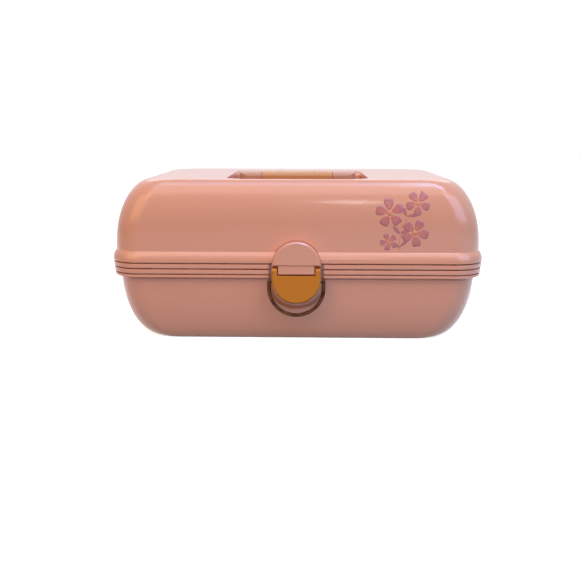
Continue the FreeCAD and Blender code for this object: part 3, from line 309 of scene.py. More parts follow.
class Effects:
    """The shared effects: edges, mottle, scuffs, moulded skin and painted shade in crevices.

    A GRAIN is the detail and the roughness of a noise.  A RANGE is what remap
    takes: the two ends of its input, then those of its result.  Each of
    SCUFF_RUNS is a turn in radians and a stretch.
    """

    CENTRE = 0.5
    BEVEL_SAMPLES = 6
    SHARP_RANGE = (0.985, 0.86)
    WEAR_GRAIN = (4.0, 0.6)
    WEAR_RANGE = (0.42, 0.62)
    CLOUD_GRAIN = (4.0, 0.55)
    SCUFF_RUNS = ((0.35, (1.0, 1.0, 30.0)), (-0.9, (34.0, 1.0, 1.2)))
    SCUFF_GRAIN = (2.0, 0.7)
    SCUFF_RANGE = (0.66, 0.72)
    PATCH_SCALE = 22.0
    PATCH_TOP = 0.75
    PATCH_FADE = 0.18
    RIPPLE_GRAIN = (1.0, 0.4)
    FINE_GRAIN = (2.0, 0.6)
    OCCLUSION_SAMPLES = 8
    TIGHT_RANGE = (0.72, 0.28)
    PAINTED_SHADE_GRAIN = (3.0, 0.6)
    PAINTED_SHADE_RANGE = (0.3, 0.6, 0.55, 1.0)

    def __init__(self) -> None:
        """Build every group once."""
        mask = {"Mask": Socket.FLOAT}
        self.edges = Effect("edge_round", {"Radius": 0.3 * MM, "Wear Scale": 220.0},
                            {"Normal": Socket.VECTOR, "Wear": Socket.FLOAT}, self._edges)
        self.mottle = Effect("mottle", {"Scale": 14.0, "Contrast": 1.0}, mask, self._mottle)
        self.scuffs = Effect("fine_scuffs", {"Scale": 26.0, "Cover": 0.25}, mask, self._scuffs)
        self.skin = Effect("moulded_skin", {"Ripple": 60.0, "Grain": 1800.0, "Grain Share": 0.2},
                           {"Height": Socket.FLOAT}, self._skin)
        # Painted shade: ambient occlusion darkens grooves, corners and gaps between pieces.
        self.painted_shade = Effect("crevice_painted_shade", {"Reach": 3.0 * MM, "Breakup": 90.0}, mask, self._painted_shade)

    @staticmethod
    def _where(board: Board) -> bpy.types.NodeSocket:
        """The piece's own coordinates.

        Args:
            board: The group's board.

        Returns:
            The coordinates, in metres.
        """
        return board.add("TexCoord").outputs["Object"]

    def _edges(self, board: Board, entry: bpy.types.Node) -> dict:
        """Round the normals over sharp edges and mark where they are rubbed.

        Args:
            board: The group's board.
            entry: The group's inputs.

        Returns:
            The rounded normal and the mask of rubbed edges.
        """
        rounded = board.add("Bevel", {"Radius": entry.outputs["Radius"]}, samples=self.BEVEL_SAMPLES)
        plain = board.add("NewGeometry").outputs["Normal"]
        turn = board.add("VectorMath", {0: rounded.outputs[0], 1: plain}, operation="DOT_PRODUCT")
        sharp = board.remap(turn.outputs["Value"], *self.SHARP_RANGE)
        broken = board.noise(self._where(board), entry.outputs["Wear Scale"], *self.WEAR_GRAIN)
        wear = board.maths("MULTIPLY", sharp, board.remap(broken, *self.WEAR_RANGE))
        return {"Normal": rounded.outputs[0], "Wear": wear}

    def _mottle(self, board: Board, entry: bpy.types.Node) -> dict:
        """Draw slow clouds.

        Args:
            board: The group's board.
            entry: The group's inputs.

        Returns:
            The clouds as a mask about 0.5.
        """
        cloud = board.noise(self._where(board), entry.outputs["Scale"], *self.CLOUD_GRAIN)
        centred = board.maths("SUBTRACT", cloud, self.CENTRE)
        return {"Mask": board.maths("MULTIPLY_ADD", centred, entry.outputs["Contrast"], self.CENTRE)}

    def _scuffs(self, board: Board, entry: bpy.types.Node) -> dict:
        """Draw thin hairline marks in two directions, in patches.

        Args:
            board: The group's board.
            entry: The group's inputs.

        Returns:
            The mask of the marks.
        """
        where = self._where(board)
        marks = []
        for angle, stretch in self.SCUFF_RUNS:
            turned = board.add("Mapping", {"Vector": where, "Rotation": (angle, angle, angle),
                                           "Scale": stretch})
            lines = board.noise(turned.outputs[0], entry.outputs["Scale"], *self.SCUFF_GRAIN)
            marks.append(board.remap(lines, *self.SCUFF_RANGE))
        both = board.maths("MAXIMUM", *marks)
        patches = board.noise(where, self.PATCH_SCALE)
        lower = board.maths("SUBTRACT", self.PATCH_TOP, entry.outputs["Cover"])
        upper = board.maths("ADD", lower, self.PATCH_FADE)
        return {"Mask": board.maths("MULTIPLY", both, board.remap(patches, lower, upper))}

    def _skin(self, board: Board, entry: bpy.types.Node) -> dict:
        """Draw the slow ripple and the fine grain of a moulded surface.

        Args:
            board: The group's board.
            entry: The group's inputs.

        Returns:
            Both as one height.
        """
        where = self._where(board)
        ripple = board.noise(where, entry.outputs["Ripple"], *self.RIPPLE_GRAIN)
        grain = board.noise(where, entry.outputs["Grain"], *self.FINE_GRAIN)
        fine = board.maths("MULTIPLY", grain, entry.outputs["Grain Share"])
        return {"Height": board.maths("ADD", ripple, fine)}

    def _painted_shade(self, board: Board, entry: bpy.types.Node) -> dict:
        """Paint shade into grooves, corners and the gaps between pieces, from ambient occlusion broken up by
        noise.

        Args:
            board: The group's board.
            entry: The group's inputs.

        Returns:
            The mask of the painted shade.
        """
        # Ambient occlusion, from neighbouring pieces too, paints shade where light would be blocked.
        shade = board.add("AmbientOcclusion", {"Distance": entry.outputs["Reach"]},
                          samples=self.OCCLUSION_SAMPLES)
        tight = board.remap(shade.outputs["AO"], *self.TIGHT_RANGE)
        broken = board.noise(self._where(board), entry.outputs["Breakup"], *self.PAINTED_SHADE_GRAIN)
        return {"Mask": board.maths("MULTIPLY", tight, board.remap(broken, *self.PAINTED_SHADE_RANGE))}


# ---------------------------------------------------------------- finishes
class Finish(Protocol):
    """What the workshop asks of a finish."""

    name: str

    def build(self, effects: Effects) -> bpy.types.Material:
        """Build the material.

        Args:
            effects: The shared node groups.

        Returns:
            The finished material.
        """


def moulded_normal(board: Board, skin: bpy.types.Node, edges: bpy.types.Node,
                   height: float) -> bpy.types.NodeSocket:
    """Lay the skin's height over the rounded edges.

    Args:
        board: The material's board.
        skin: The placed moulded_skin group.
        edges: The placed edge_round group.
        height: The skin's height, in millimetres.

    Returns:
        The normal for the shader.
    """
    bump = board.add("Bump", {"Height": skin.outputs["Height"], "Distance": height * MM, "Strength": 1.0,
                              "Normal": edges.outputs["Normal"]})
    return bump.outputs[0]


@dataclass(frozen=True)
class PlasticFinish:
    """A moulded plastic with gloss, slow colour drift, edge wear and painted shade.

    Rubbed edges turn lighter, scuffs turn the plastic rougher, and grooves, corners
    and gaps take a painted shade, where the glossy skin also fades out.

    Attributes:
        name: The material's name.
        colour: The plastic's colour.
        drift: The colour that it drifts towards in cloudy patches.
        painted_shade: The colour of the painted shade in grooves, corners and gaps.
        drift_share: How far the drift goes.
        wear_share: How much lighter rubbed edges are.
        painted_shade_share: How far the grooves take the painted shade's colour.
        roughness: Roughness of the plastic under its gloss.
        specular: Specular level of the plastic under its gloss.
        coat: Weight of the glossy skin.
        coat_ior: Refractive index of the glossy skin.
        coat_roughness: Roughness of the glossy skin.
        sheen: Weight of the pearly sheen at grazing angles.
        sheen_tint: The sheen's colour.
        bump: Height of the moulded skin, in millimetres.
        edge: Radius that sharp edges seem to have, in millimetres.
    """

    name: str
    colour: Colour
    drift: Colour
    painted_shade: Colour
    drift_share: float = 0.35
    wear_share: float = 0.25
    painted_shade_share: float = 0.6
    roughness: float = 0.34
    specular: float = 0.5
    coat: float = 0.6
    coat_ior: float = 1.5
    coat_roughness: float = 0.08
    sheen: float = 0.0
    sheen_tint: Colour = WHITE
    bump: float = 0.03
    edge: float = 0.35

    DRIFT_SCALE: ClassVar[float] = 11.0
    DRIFT_CONTRAST: ClassVar[float] = 1.6
    RUBBED_WHITE: ClassVar[float] = 0.35
    SCUFF_ROUGHNESS: ClassVar[float] = 0.25
    GLOSS_END: ClassVar[float] = 0.8
    SHEEN_ROUGHNESS: ClassVar[float] = 0.35

    def build(self, effects: Effects) -> bpy.types.Material:
        """Build the material.

        Args:
            effects: The shared node groups.

        Returns:
            The finished material.
        """
        material, board = start_material(self.name)
        edges = effects.edges.place(board, Radius=self.edge * MM)
        drift = effects.mottle.place(board, Scale=self.DRIFT_SCALE, Contrast=self.DRIFT_CONTRAST)
        amount = board.maths("MULTIPLY", drift.outputs["Mask"], self.drift_share)
        colour = board.blend(amount, self.colour, self.drift)
        lighter = tuple(channel + (1.0 - channel) * self.RUBBED_WHITE for channel in self.colour)
        rubbed = board.maths("MULTIPLY", edges.outputs["Wear"], self.wear_share)
        colour = board.blend(rubbed, colour, lighter)
        # Painted shade: grooves, corners and gaps are darkened towards the shade colour.
        painted_shade_mask = effects.painted_shade.place(board)
        shade_amount = board.maths("MULTIPLY", painted_shade_mask.outputs["Mask"], self.painted_shade_share)
        colour = board.blend(shade_amount, colour, self.painted_shade)
        scuffs = effects.scuffs.place(board)
        scuffed = min(1.0, self.roughness + self.SCUFF_ROUGHNESS)
        rough = board.remap(scuffs.outputs["Mask"], 0.0, 1.0, self.roughness, scuffed)
        # The gloss fades out under the painted shade, so those crevices lose their reflection.
        gloss = board.remap(painted_shade_mask.outputs["Mask"], 0.0, self.GLOSS_END, self.coat, 0.0)
        normal = moulded_normal(board, effects.skin.place(board), edges, self.bump)
        shader = board.add("BsdfPrincipled", {
            "Base Color": colour, "Roughness": rough, "Normal": normal, "Specular IOR Level": self.specular,
            "Coat IOR": self.coat_ior, "Coat Weight": gloss, "Coat Roughness": self.coat_roughness,
            "Sheen Weight": self.sheen, "Sheen Tint": self.sheen_tint,
            "Sheen Roughness": self.SHEEN_ROUGHNESS})
        board.add("OutputMaterial", {"Surface": shader.outputs[0]})
        return material


@dataclass(frozen=True)
class MetalFinish:
    """A metal with tarnish patches, rubbed edges and fine scuffs.

    Attributes:
        name: The material's name.
        colour: The clean metal.
        tarnish: The dulled metal.
        roughness: Roughness where it is clean.
        tarnish_share: How much of it is dulled.
        edge: Radius that sharp edges seem to have, in millimetres.
    """

    name: str
    colour: Colour
    tarnish: Colour
    roughness: float = 0.28
    tarnish_share: float = 0.5
    edge: float = 0.2

    CLOUD_SCALE: ClassVar[float] = 120.0
    CLOUD_CONTRAST: ClassVar[float] = 2.0
    SCUFF_SCALE: ClassVar[float] = 80.0
    SCUFF_COVER: ClassVar[float] = 0.4
    SCUFF_ROUGHNESS: ClassVar[float] = 0.2
    DULL_ROUGHNESS: ClassVar[float] = 0.25
    RIPPLE: ClassVar[float] = 300.0
    GRAIN: ClassVar[float] = 4000.0
    GRAIN_SHARE: ClassVar[float] = 0.4
    BUMP: ClassVar[float] = 0.01

    def build(self, effects: Effects) -> bpy.types.Material:
        """Build the material.

        Args:
            effects: The shared node groups.

        Returns:
            The finished material.
        """
        material, board = start_material(self.name)
        edges = effects.edges.place(board, Radius=self.edge * MM)
        cloud = effects.mottle.place(board, Scale=self.CLOUD_SCALE, Contrast=self.CLOUD_CONTRAST)
        dull = board.maths("MULTIPLY", cloud.outputs["Mask"], self.tarnish_share)
        colour = board.blend(dull, self.colour, self.tarnish)
        colour = board.blend(edges.outputs["Wear"], colour, self.colour)
        scuffs = effects.scuffs.place(board, Scale=self.SCUFF_SCALE, Cover=self.SCUFF_COVER)
        rough = board.maths("MULTIPLY_ADD", scuffs.outputs["Mask"], self.SCUFF_ROUGHNESS, self.roughness)
        rough = board.maths("MULTIPLY_ADD", dull, self.DULL_ROUGHNESS, rough)
        skin = effects.skin.place(board, Ripple=self.RIPPLE, Grain=self.GRAIN, Grain_Share=self.GRAIN_SHARE)
        normal = moulded_normal(board, skin, edges, self.BUMP)
        shader = board.add("BsdfPrincipled", {"Base Color": colour, "Roughness": rough, "Metallic": 1.0,
                                              "Normal": normal})
        board.add("OutputMaterial", {"Surface": shader.outputs[0]})
        return material


@dataclass(frozen=True)
class MirrorFinish:
    """Silvered glass with faint smears.

    Attributes:
        name: The material's name.
        colour: The silvering seen through the glass.
    """

    name: str
    colour: Colour

    SMEAR_SCALE: ClassVar[float] = 18.0
    SMEAR_CONTRAST: ClassVar[float] = 2.2
    SMEAR_RANGE: ClassVar[tuple[float, ...]] = (0.35, 0.9, 0.015, 0.09)

    def build(self, effects: Effects) -> bpy.types.Material:
        """Build the material.

        Args:
            effects: The shared node groups.

        Returns:
            The finished material.
        """
        material, board = start_material(self.name)
        smear = effects.mottle.place(board, Scale=self.SMEAR_SCALE, Contrast=self.SMEAR_CONTRAST)
        rough = board.remap(smear.outputs["Mask"], *self.SMEAR_RANGE)
        shader = board.add("BsdfPrincipled", {"Base Color": self.colour, "Metallic": 1.0, "Roughness": rough})
        board.add("OutputMaterial", {"Surface": shader.outputs[0]})
        return material


@dataclass(frozen=True)
class InkFinish:
    """Printed ink that blushes from its rim to its heart.

    Attributes:
        name: The material's name.
        rim: The colour at a petal's tip or a leaf's edge.
        heart: The colour at its foot.
        grain: How much of the plastic shows through the ink.
        plastic: The colour of the plastic below.
    """

    name: str
    rim: Colour
    heart: Colour
    grain: float
    plastic: Colour

    CLOUD_SCALE: ClassVar[float] = 260.0
    CLOUD_CONTRAST: ClassVar[float] = 1.8
    CLOUD_SHARE: ClassVar[float] = 0.35
    WORN_SCALE: ClassVar[float] = 900.0
    WORN_CONTRAST: ClassVar[float] = 2.6
    WORN_START: ClassVar[float] = 0.55
    ROUGHNESS: ClassVar[float] = 0.38
    COAT: ClassVar[float] = 0.5
    COAT_ROUGHNESS: ClassVar[float] = 0.12

    def build(self, effects: Effects) -> bpy.types.Material:
        """Build the material.

        Args:
            effects: The shared node groups.

        Returns:
            The finished material.
        """
        material, board = start_material(self.name)
        blush = board.add("Attribute", attribute_name=BLUSH).outputs["Fac"]
        cloud = effects.mottle.place(board, Scale=self.CLOUD_SCALE, Contrast=self.CLOUD_CONTRAST)
        centred = board.maths("SUBTRACT", cloud.outputs["Mask"], Effects.CENTRE)
        shifted = board.maths("MULTIPLY_ADD", centred, self.CLOUD_SHARE, blush)
        colour = board.blend(board.remap(shifted, 0.0, 1.0), self.rim, self.heart)
        worn = effects.mottle.place(board, Scale=self.WORN_SCALE, Contrast=self.WORN_CONTRAST)
        thin = board.remap(worn.outputs["Mask"], self.WORN_START, 1.0, 0.0, self.grain)
        colour = board.blend(thin, colour, self.plastic)
        shader = board.add("BsdfPrincipled", {
            "Base Color": colour, "Roughness": self.ROUGHNESS, "Coat Weight": self.COAT,
            "Coat Roughness": self.COAT_ROUGHNESS})
        board.add("OutputMaterial", {"Surface": shader.outputs[0]})
        return material


PINK = srgb(218, 148, 114)

# The third colour of each plastic finish is the painted shade that fills its grooves, corners and gaps.
FINISHES: dict[Slot, Finish] = {
    Slot.SHELL: PlasticFinish("pink_shell_gloss", PINK, srgb(221, 156, 132), srgb(104, 52, 36),
                              painted_shade_share=0.6, specular=0.2, coat=0.68, coat_ior=1.7, coat_roughness=0.16,
                              sheen=0.2, sheen_tint=srgb(216, 158, 222)),
    Slot.AMBER: PlasticFinish("amber_satin", srgb(200, 123, 14), srgb(212, 134, 26), srgb(84, 36, 10),
                              painted_shade_share=0.8, roughness=0.42, specular=0.3, coat=0.15, coat_roughness=0.2,
                              bump=0.02, wear_share=0.6),
    Slot.HANDLE: PlasticFinish("handle_blush", srgb(186, 130, 102), srgb(194, 140, 112), srgb(82, 38, 22),
                               painted_shade_share=0.9, roughness=0.4, specular=0.3, coat=0.25, coat_roughness=0.16,
                               bump=0.02, wear_share=0.4),
    Slot.TRAY: PlasticFinish("tray_satin", srgb(240, 224, 216), srgb(244, 232, 226), srgb(150, 120, 108),
                             roughness=0.45, coat=0.2, coat_roughness=0.25, bump=0.04),
    Slot.BRONZE: MetalFinish("dark_bronze", srgb(92, 60, 40), srgb(40, 20, 14), roughness=0.34,
                             tarnish_share=1.0),
    Slot.STEEL: MetalFinish("bright_steel", srgb(205, 203, 198), srgb(150, 146, 140)),
    Slot.ARM: MetalFinish("satin_arm", srgb(188, 186, 182), srgb(140, 136, 130), roughness=0.4),
    Slot.MIRROR: MirrorFinish("silvered_glass", srgb(236, 240, 240)),
}
# Its third colour is the painted shade in its grooves and gaps.
GRIP_FINISH = PlasticFinish("grip_honey", srgb(192, 128, 76), srgb(202, 140, 90), srgb(84, 40, 20),
                            painted_shade_share=0.9, roughness=0.4, specular=0.3, coat=0.2, coat_roughness=0.18,
                            bump=0.02, wear_share=0.5)


class Workshop:
    """Builds each finish once and dresses pieces with it."""

    def __init__(self) -> None:
        """Build the shared effects."""
        self.effects = Effects()
        self.materials: dict[str, bpy.types.Material] = {}

    def material(self, finish: Finish) -> bpy.types.Material:
        """The material of a finish, built when first asked for.

        Args:
            finish: The finish.

        Returns:
            Its material.
        """
        if finish.name not in self.materials:
            self.materials[finish.name] = finish.build(self.effects)
        return self.materials[finish.name]

    def dress(self, name: str, slot: Slot, finish: Finish | None = None) -> None:
        """Give a piece of the frame its finish.

        Args:
            name: The node's name.
            slot: The slot that its finish belongs to.
            finish: A finish of its own, where it differs from the slot's.
        """
        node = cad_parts[name]
        for holder in node.material_slots:
            holder.material = self.material(finish or FINISHES[slot])
        LOG.info("%s dressed as %s", name, slot.value)


# ---------------------------------------------------------------- sub-assemblies
class Assembly:
    """Pieces that belong together.

    Attributes:
        finishes: Each slot with the pieces that wear its finish.
    """

    finishes: ClassVar[dict[Slot, Sequence[str]]] = {}

    def build(self, shop: Workshop) -> None:
        """Dress every piece.

        Args:
            shop: The workshop with the finishes.
        """
        for slot, pieces in self.finishes.items():
            for name in pieces:
                shop.dress(name, slot)


class CaseShells(Assembly):
    """The tub and the lid with their hinge pins."""

    finishes = {Slot.SHELL: ("base_shell", "lid_shell"),
                Slot.STEEL: ("hinge_pin_left", "hinge_pin_right")}


class Latch(Assembly):
    """The pad on the lid, the amber hasp, its pin and the bronze ring."""

    # The latch pin wears the dark bronze so that the gap round it reads dark: painted shade.
    finishes = {Slot.SHELL: ("latch_pad",), Slot.AMBER: ("latch_flap",),
                Slot.BRONZE: ("latch_pin", "pull_ring")}


class CarryHandle(Assembly):
    """The folding handle with its grip cover, screws and pins."""

    finishes = {Slot.HANDLE: ("handle_frame",), Slot.STEEL: ("grip_screws", "handle_pins")}

    def build(self, shop: Workshop) -> None:
        """Dress every piece, and the grip cover in a finish of its own.

        Args:
            shop: The workshop with the finishes.
        """
        super().build(shop)
        shop.dress("handle_grip_cover", Slot.AMBER, GRIP_FINISH)


class Interior(Assembly):
    """The mirror in the lid, the trays and the arms that carry them."""

    finishes = {
        Slot.TRAY: ("lower_tray", "upper_tray", "lower_dividers", "upper_dividers", "mirror_frame"),
        Slot.ARM: ("front_arm_left", "front_arm_right", "rear_arm_left", "rear_arm_right", "lid_link_left",
                   "lid_link_right"),
        Slot.STEEL: ("base_pivot_rivets", "lower_tray_rivets", "upper_tray_rivets", "link_rivets",
                     "lid_rivets", "mirror_pins"),
        Slot.MIRROR: ("mirror_glass",),
    }


# ---------------------------------------------------------------- print
def step_from(start: Point, heading: float, along: float, across: float = 0.0) -> Point:
    """Step from a point along a heading and to the left of it.

    Args:
        start: The point.
        heading: The heading, in radians.
        along: How far ahead.
        across: How far to the left.

    Returns:
        The point that is reached.
    """
    return (start[0] + along * math.cos(heading) - across * math.sin(heading),
            start[1] + along * math.sin(heading) + across * math.cos(heading))


@dataclass(frozen=True)
class Spray:
    """Where one blossom of the print stands.

    Attributes:
        x: Sideways from the print's middle, in millimetres.
        z: Upwards from it.
        radius: The blossom's radius.
        turn: Its turn, in degrees.
    """

    x: float
    z: float
    radius: float
    turn: float


PETAL_INK = InkFinish("petal_ink", srgb(172, 98, 106), srgb(201, 108, 96), 0.35, PINK)
LEAF_INK = InkFinish("leaf_ink", srgb(166, 92, 98), srgb(178, 100, 100), 0.4, PINK)
HEART_INK = InkFinish("heart_ink", srgb(214, 118, 74), srgb(226, 138, 84), 0.25, PINK)


@dataclass
class BlossomPrint:
    """A spray of printed blossoms and leaves on the front of the lid.

    Every motif is a thin film that lies on the lid's own surface.  The sizes of
    petals, hearts and stamens are shares of the blossom's radius, and a leaf's
    breadth is a share of its length.  RAY_START is in metres, STEM_HALF in
    millimetres, LEAF_SPREAD, LEAF_SKEW and NOTCH_ANGLE in radians.

    Attributes:
        centre: The print's middle on the lid's front, X and Z in millimetres.
        tilt: Its turn, in degrees, anticlockwise.
        lift: How far the film's face stands off the plastic, in millimetres.
        petals: Petals of each blossom.
        blossoms: Where the blossoms stand.
        stem: The foot, the knee and the tip of the stem.
        leaves: Each pair's share of the way up the stem, and its length.
        leaf_lift: How high the leaves lie, as a share of lift.
        stem_lift: How high the stem lies.
        heart_lift: How high the hearts lie.
        body: The body that the print rides on.
        lid_tree: A search tree over the lid's mesh.
    """

    centre: Point = (95.0, 110.5)
    tilt: float = 12.0
    lift: float = 0.06
    petals: int = 5
    blossoms: Sequence[Spray] = (Spray(-12.5, 9.0, 13.0, 12.0), Spray(13.0, 12.0, 11.0, 40.0),
                                 Spray(5.5, -12.5, 12.5, -20.0), Spray(-18.0, -15.5, 8.0, 30.0))
    stem: Sequence[Point] = ((-10.0, -25.0), (-8.0, 0.0), (18.0, 17.0))
    leaves: Sequence[Point] = ((0.06, 7.5), (0.30, 9.5), (0.62, 9.0), (1.0, 5.0))
    leaf_lift: float = 0.5
    stem_lift: float = 0.75
    heart_lift: float = 1.35
    body: str = "lid"
    lid_tree: BVHTree | None = None

    RAY_START: ClassVar[float] = 0.01
    PETAL_STEPS: ClassVar[int] = 26
    PETAL_MIDDLE: ClassVar[float] = 0.60
    PETAL_HALF: ClassVar[float] = 0.40
    PETAL_BREADTH: ClassVar[float] = 0.40
    PETAL_FOOT: ClassVar[float] = 0.74
    PETAL_FLARE: ClassVar[float] = 0.30
    PETAL_HUB: ClassVar[float] = 0.42
    NOTCH_DEPTH: ClassVar[float] = 0.16
    NOTCH_ANGLE: ClassVar[float] = 0.35
    HEART: ClassVar[float] = 0.17
    STAMENS: ClassVar[int] = 8
    STAMEN: ClassVar[float] = 0.065
    STAMEN_REACH: ClassVar[float] = 0.33
    DOT_STEPS: ClassVar[int] = 16
    DOT_RINGS: ClassVar[int] = 2
    LEAF_STEPS: ClassVar[int] = 20
    LEAF_RINGS: ClassVar[int] = 4
    LEAF_PROBE: ClassVar[float] = 0.02
    LEAF_SPREAD: ClassVar[float] = 0.95
    LEAF_BREADTH: ClassVar[float] = 0.21
    LEAF_SKEW: ClassVar[float] = 0.35
    LEAF_POWER: ClassVar[float] = 0.4
    STEM_STEPS: ClassVar[int] = 36
    STEM_HALF: ClassVar[float] = 0.45
    STEM_PROBE: ClassVar[float] = 0.01
    STEM_TAPER: ClassVar[float] = 0.5
    STEM_SECTION: ClassVar[Sequence[Point]] = ((-1.0, -1.0), (-1.0, 1.0), (1.0, 1.0), (1.0, -1.0))

    def build(self, shop: Workshop) -> None:
        """Build, dress and hang the print.

        Args:
            shop: The workshop with the finishes.
        """
        self.lid_tree = self._tree("lid_shell")
        for name, draw, ink in (("print_petals", self._petals, PETAL_INK),
                                ("print_hearts", self._hearts, HEART_INK),
                                ("print_leaves", self._leaves, LEAF_INK),
                                ("print_stems", self._stems, HEART_INK)):
            self._piece(name, draw, shop.material(ink))

    @staticmethod
    def _tree(node: str) -> BVHTree:
        """Build a search tree over a node's mesh.

        Args:
            node: The node's name.

        Returns:
            The tree.
        """
        mesh = bmesh.new()
        mesh.from_mesh(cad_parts[node].data)
        tree = BVHTree.FromBMesh(mesh)
        mesh.free()
        return tree

    def _on_lid(self, x: float, z: float, lift: float) -> Vector:
        """A point of the print's plane, laid on the lid.

        Args:
            x: Sideways in the print, in millimetres.
            z: Upwards in the print.
            lift: Distance off the plastic.

        Returns:
            The point in metres.
        """
        across, up = step_from(self.centre, math.radians(self.tilt), x, z)
        start = Vector((across * MM, CAD_BOX[0][1] - self.RAY_START, up * MM))
        spot, normal, _, _ = self.lid_tree.ray_cast(start, Vector((0.0, 1.0, 0.0)))
        return spot + normal * lift * MM

    def _piece(self, name: str, draw: Callable[[bmesh.types.BMesh], None], ink: bpy.types.Material) -> None:
        """Make one object of the print and hang it on the lid.

        Args:
            name: The piece's name.
            draw: Adds its faces.
            ink: Its material.
        """
        film = bmesh.new()
        film.verts.layers.float.new(BLUSH)
        draw(film)
        bmesh.ops.recalc_face_normals(film, faces=film.faces)
        mesh = bpy.data.meshes.new(name)
        film.to_mesh(mesh)
        film.free()
        mesh.materials.append(ink)
        mesh.shade_smooth()
        piece = bpy.data.objects.new(name, mesh)
        bpy.context.scene.collection.objects.link(piece)
        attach(piece, self.body)
        LOG.info("%s printed with %d faces", name, len(mesh.polygons))

    def _patch(self, film: bmesh.types.BMesh, middle: Point, outline: Sequence[Point], rings: int = 5,
               share_of_lift: float = 1.0) -> None:
        """Fill a star-shaped outline with rings of faces, with a thin edge down to the lid.

        Args:
            film: The mesh to add to.
            middle: A point that sees the whole outline.
            outline: The outline, anticlockwise, in the print's plane.
            rings: Rings between the middle and the outline.
            share_of_lift: How high it lies, as a share of the print's lift.
        """
        face = self.lift * share_of_lift
        blush = film.verts.layers.float[BLUSH]
        hub = film.verts.new(self._on_lid(*middle, face))
        hub[blush] = 1.0
        previous: list[bmesh.types.BMVert] = []
        for ring in range(1, rings + 2):
            share = min(ring / rings, 1.0)
            lift = face if ring <= rings else -self.lift
            verts = []
            for x, z in outline:
                vert = film.verts.new(self._on_lid(middle[0] + (x - middle[0]) * share,
                                                   middle[1] + (z - middle[1]) * share, lift))
                vert[blush] = 1.0 - share
                verts.append(vert)
            for index, vert in enumerate(verts):
                beside = verts[(index + 1) % len(verts)]
                if previous:
                    film.faces.new((previous[index], vert, beside, previous[(index + 1) % len(verts)]))
                else:
                    film.faces.new((hub, vert, beside))
            previous = verts

    def _petals(self, film: bmesh.types.BMesh) -> None:
        """Draw the notched petals round each blossom.

        Args:
            film: The mesh to add to.
        """
        for spray in self.blossoms:
            for petal in range(self.petals):
                angle = math.radians(spray.turn + 360.0 * petal / self.petals)
                foot = (spray.x, spray.z)
                outline = []
                for step in range(self.PETAL_STEPS):
                    around = 2.0 * math.pi * step / self.PETAL_STEPS
                    from_tip = math.remainder(around, 2.0 * math.pi) / self.NOTCH_ANGLE
                    notch = 1.0 - self.NOTCH_DEPTH * math.exp(-(from_tip ** 2))
                    along = self.PETAL_MIDDLE + self.PETAL_HALF * math.cos(around) * notch
                    flare = self.PETAL_FOOT + self.PETAL_FLARE * math.cos(around)
                    width = self.PETAL_BREADTH * math.sin(around) * flare
                    outline.append(step_from(foot, angle, spray.radius * along, spray.radius * width))
                self._patch(film, step_from(foot, angle, self.PETAL_HUB * spray.radius), outline)

    def _hearts(self, film: bmesh.types.BMesh) -> None:
        """Draw a round heart and a ring of small stamens in each blossom.

        Args:
            film: The mesh to add to.
        """
        for spray in self.blossoms:
            heart = (spray.x, spray.z)
            self._dot(film, heart, self.HEART * spray.radius)
            for stamen in range(self.STAMENS):
                angle = math.radians(spray.turn + (stamen + 0.5) * 360.0 / self.STAMENS)
                self._dot(film, step_from(heart, angle, self.STAMEN_REACH * spray.radius),
                          self.STAMEN * spray.radius)

    def _dot(self, film: bmesh.types.BMesh, middle: Point, radius: float) -> None:
        """Draw a small round dot.

        Args:
            film: The mesh to add to.
            middle: The dot's middle.
            radius: Its radius.
        """
        outline = [step_from(middle, 2.0 * math.pi * step / self.DOT_STEPS, radius)
                   for step in range(self.DOT_STEPS)]
        self._patch(film, middle, outline, rings=self.DOT_RINGS, share_of_lift=self.heart_lift)

    def _stem_point(self, share: float) -> Point:
        """A point of the stem.

        Args:
            share: How far up the stem, 0 at its foot and 1 at its tip.

        Returns:
            The point in the print's plane.
        """
        foot, knee, tip = (Vector(point) for point in self.stem)
        point = foot * (1 - share) ** 2 + knee * 2 * share * (1 - share) + tip * share ** 2
        return (point.x, point.y)

    def _leaves(self, film: bmesh.types.BMesh) -> None:
        """Draw pointed leaves in pairs along the stem.

        Args:
            film: The mesh to add to.
        """
        for share, length in self.leaves:
            ahead = self._stem_point(min(1.0, share + self.LEAF_PROBE))
            behind = self._stem_point(share - self.LEAF_PROBE)
            heading = math.atan2(ahead[1] - behind[1], ahead[0] - behind[0])
            for side in (-1.0, 1.0):
                self._leaf(film, self._stem_point(share), heading + side * self.LEAF_SPREAD, length)

    def _leaf(self, film: bmesh.types.BMesh, root: Point, heading: float, length: float) -> None:
        """Draw one pointed leaf.

        Args:
            film: The mesh to add to.
            root: Where it leaves the stem.
            heading: Its heading, in radians.
            length: Its length, in millimetres.
        """
        outline = []
        for step in range(self.LEAF_STEPS):
            around = 2.0 * math.pi * step / self.LEAF_STEPS
            along = length * (0.5 - 0.5 * math.cos(around))
            fullness = abs(math.sin(around / 2.0 + self.LEAF_SKEW)) ** self.LEAF_POWER
            width = self.LEAF_BREADTH * length * math.sin(around) * fullness
            outline.append(step_from(root, heading, along, width))
        self._patch(film, step_from(root, heading, 0.5 * length), outline, rings=self.LEAF_RINGS,
                    share_of_lift=self.leaf_lift)

    def _stems(self, film: bmesh.types.BMesh) -> None:
        """Draw the stem as a tapering ribbon, open below.

        Args:
            film: The mesh to add to.
        """
        blush = film.verts.layers.float[BLUSH]
        rows = []
        for step in range(self.STEM_STEPS + 1):
            share = step / self.STEM_STEPS
            here = self._stem_point(share)
            ahead = self._stem_point(share + self.STEM_PROBE)
            heading = math.atan2(ahead[1] - here[1], ahead[0] - here[0])
            half = self.STEM_HALF * (1.0 - self.STEM_TAPER * share)
            row = []
            for side, level in self.STEM_SECTION:
                spot = step_from(here, heading, 0.0, side * half)
                vert = film.verts.new(self._on_lid(*spot, level * self.lift * self.stem_lift))
                vert[blush] = share
                row.append(vert)
            rows.append(row)
        for low, high in zip(rows, rows[1:]):
            for index in range(len(self.STEM_SECTION) - 1):
                film.faces.new((low[index], high[index], high[index + 1], low[index + 1]))


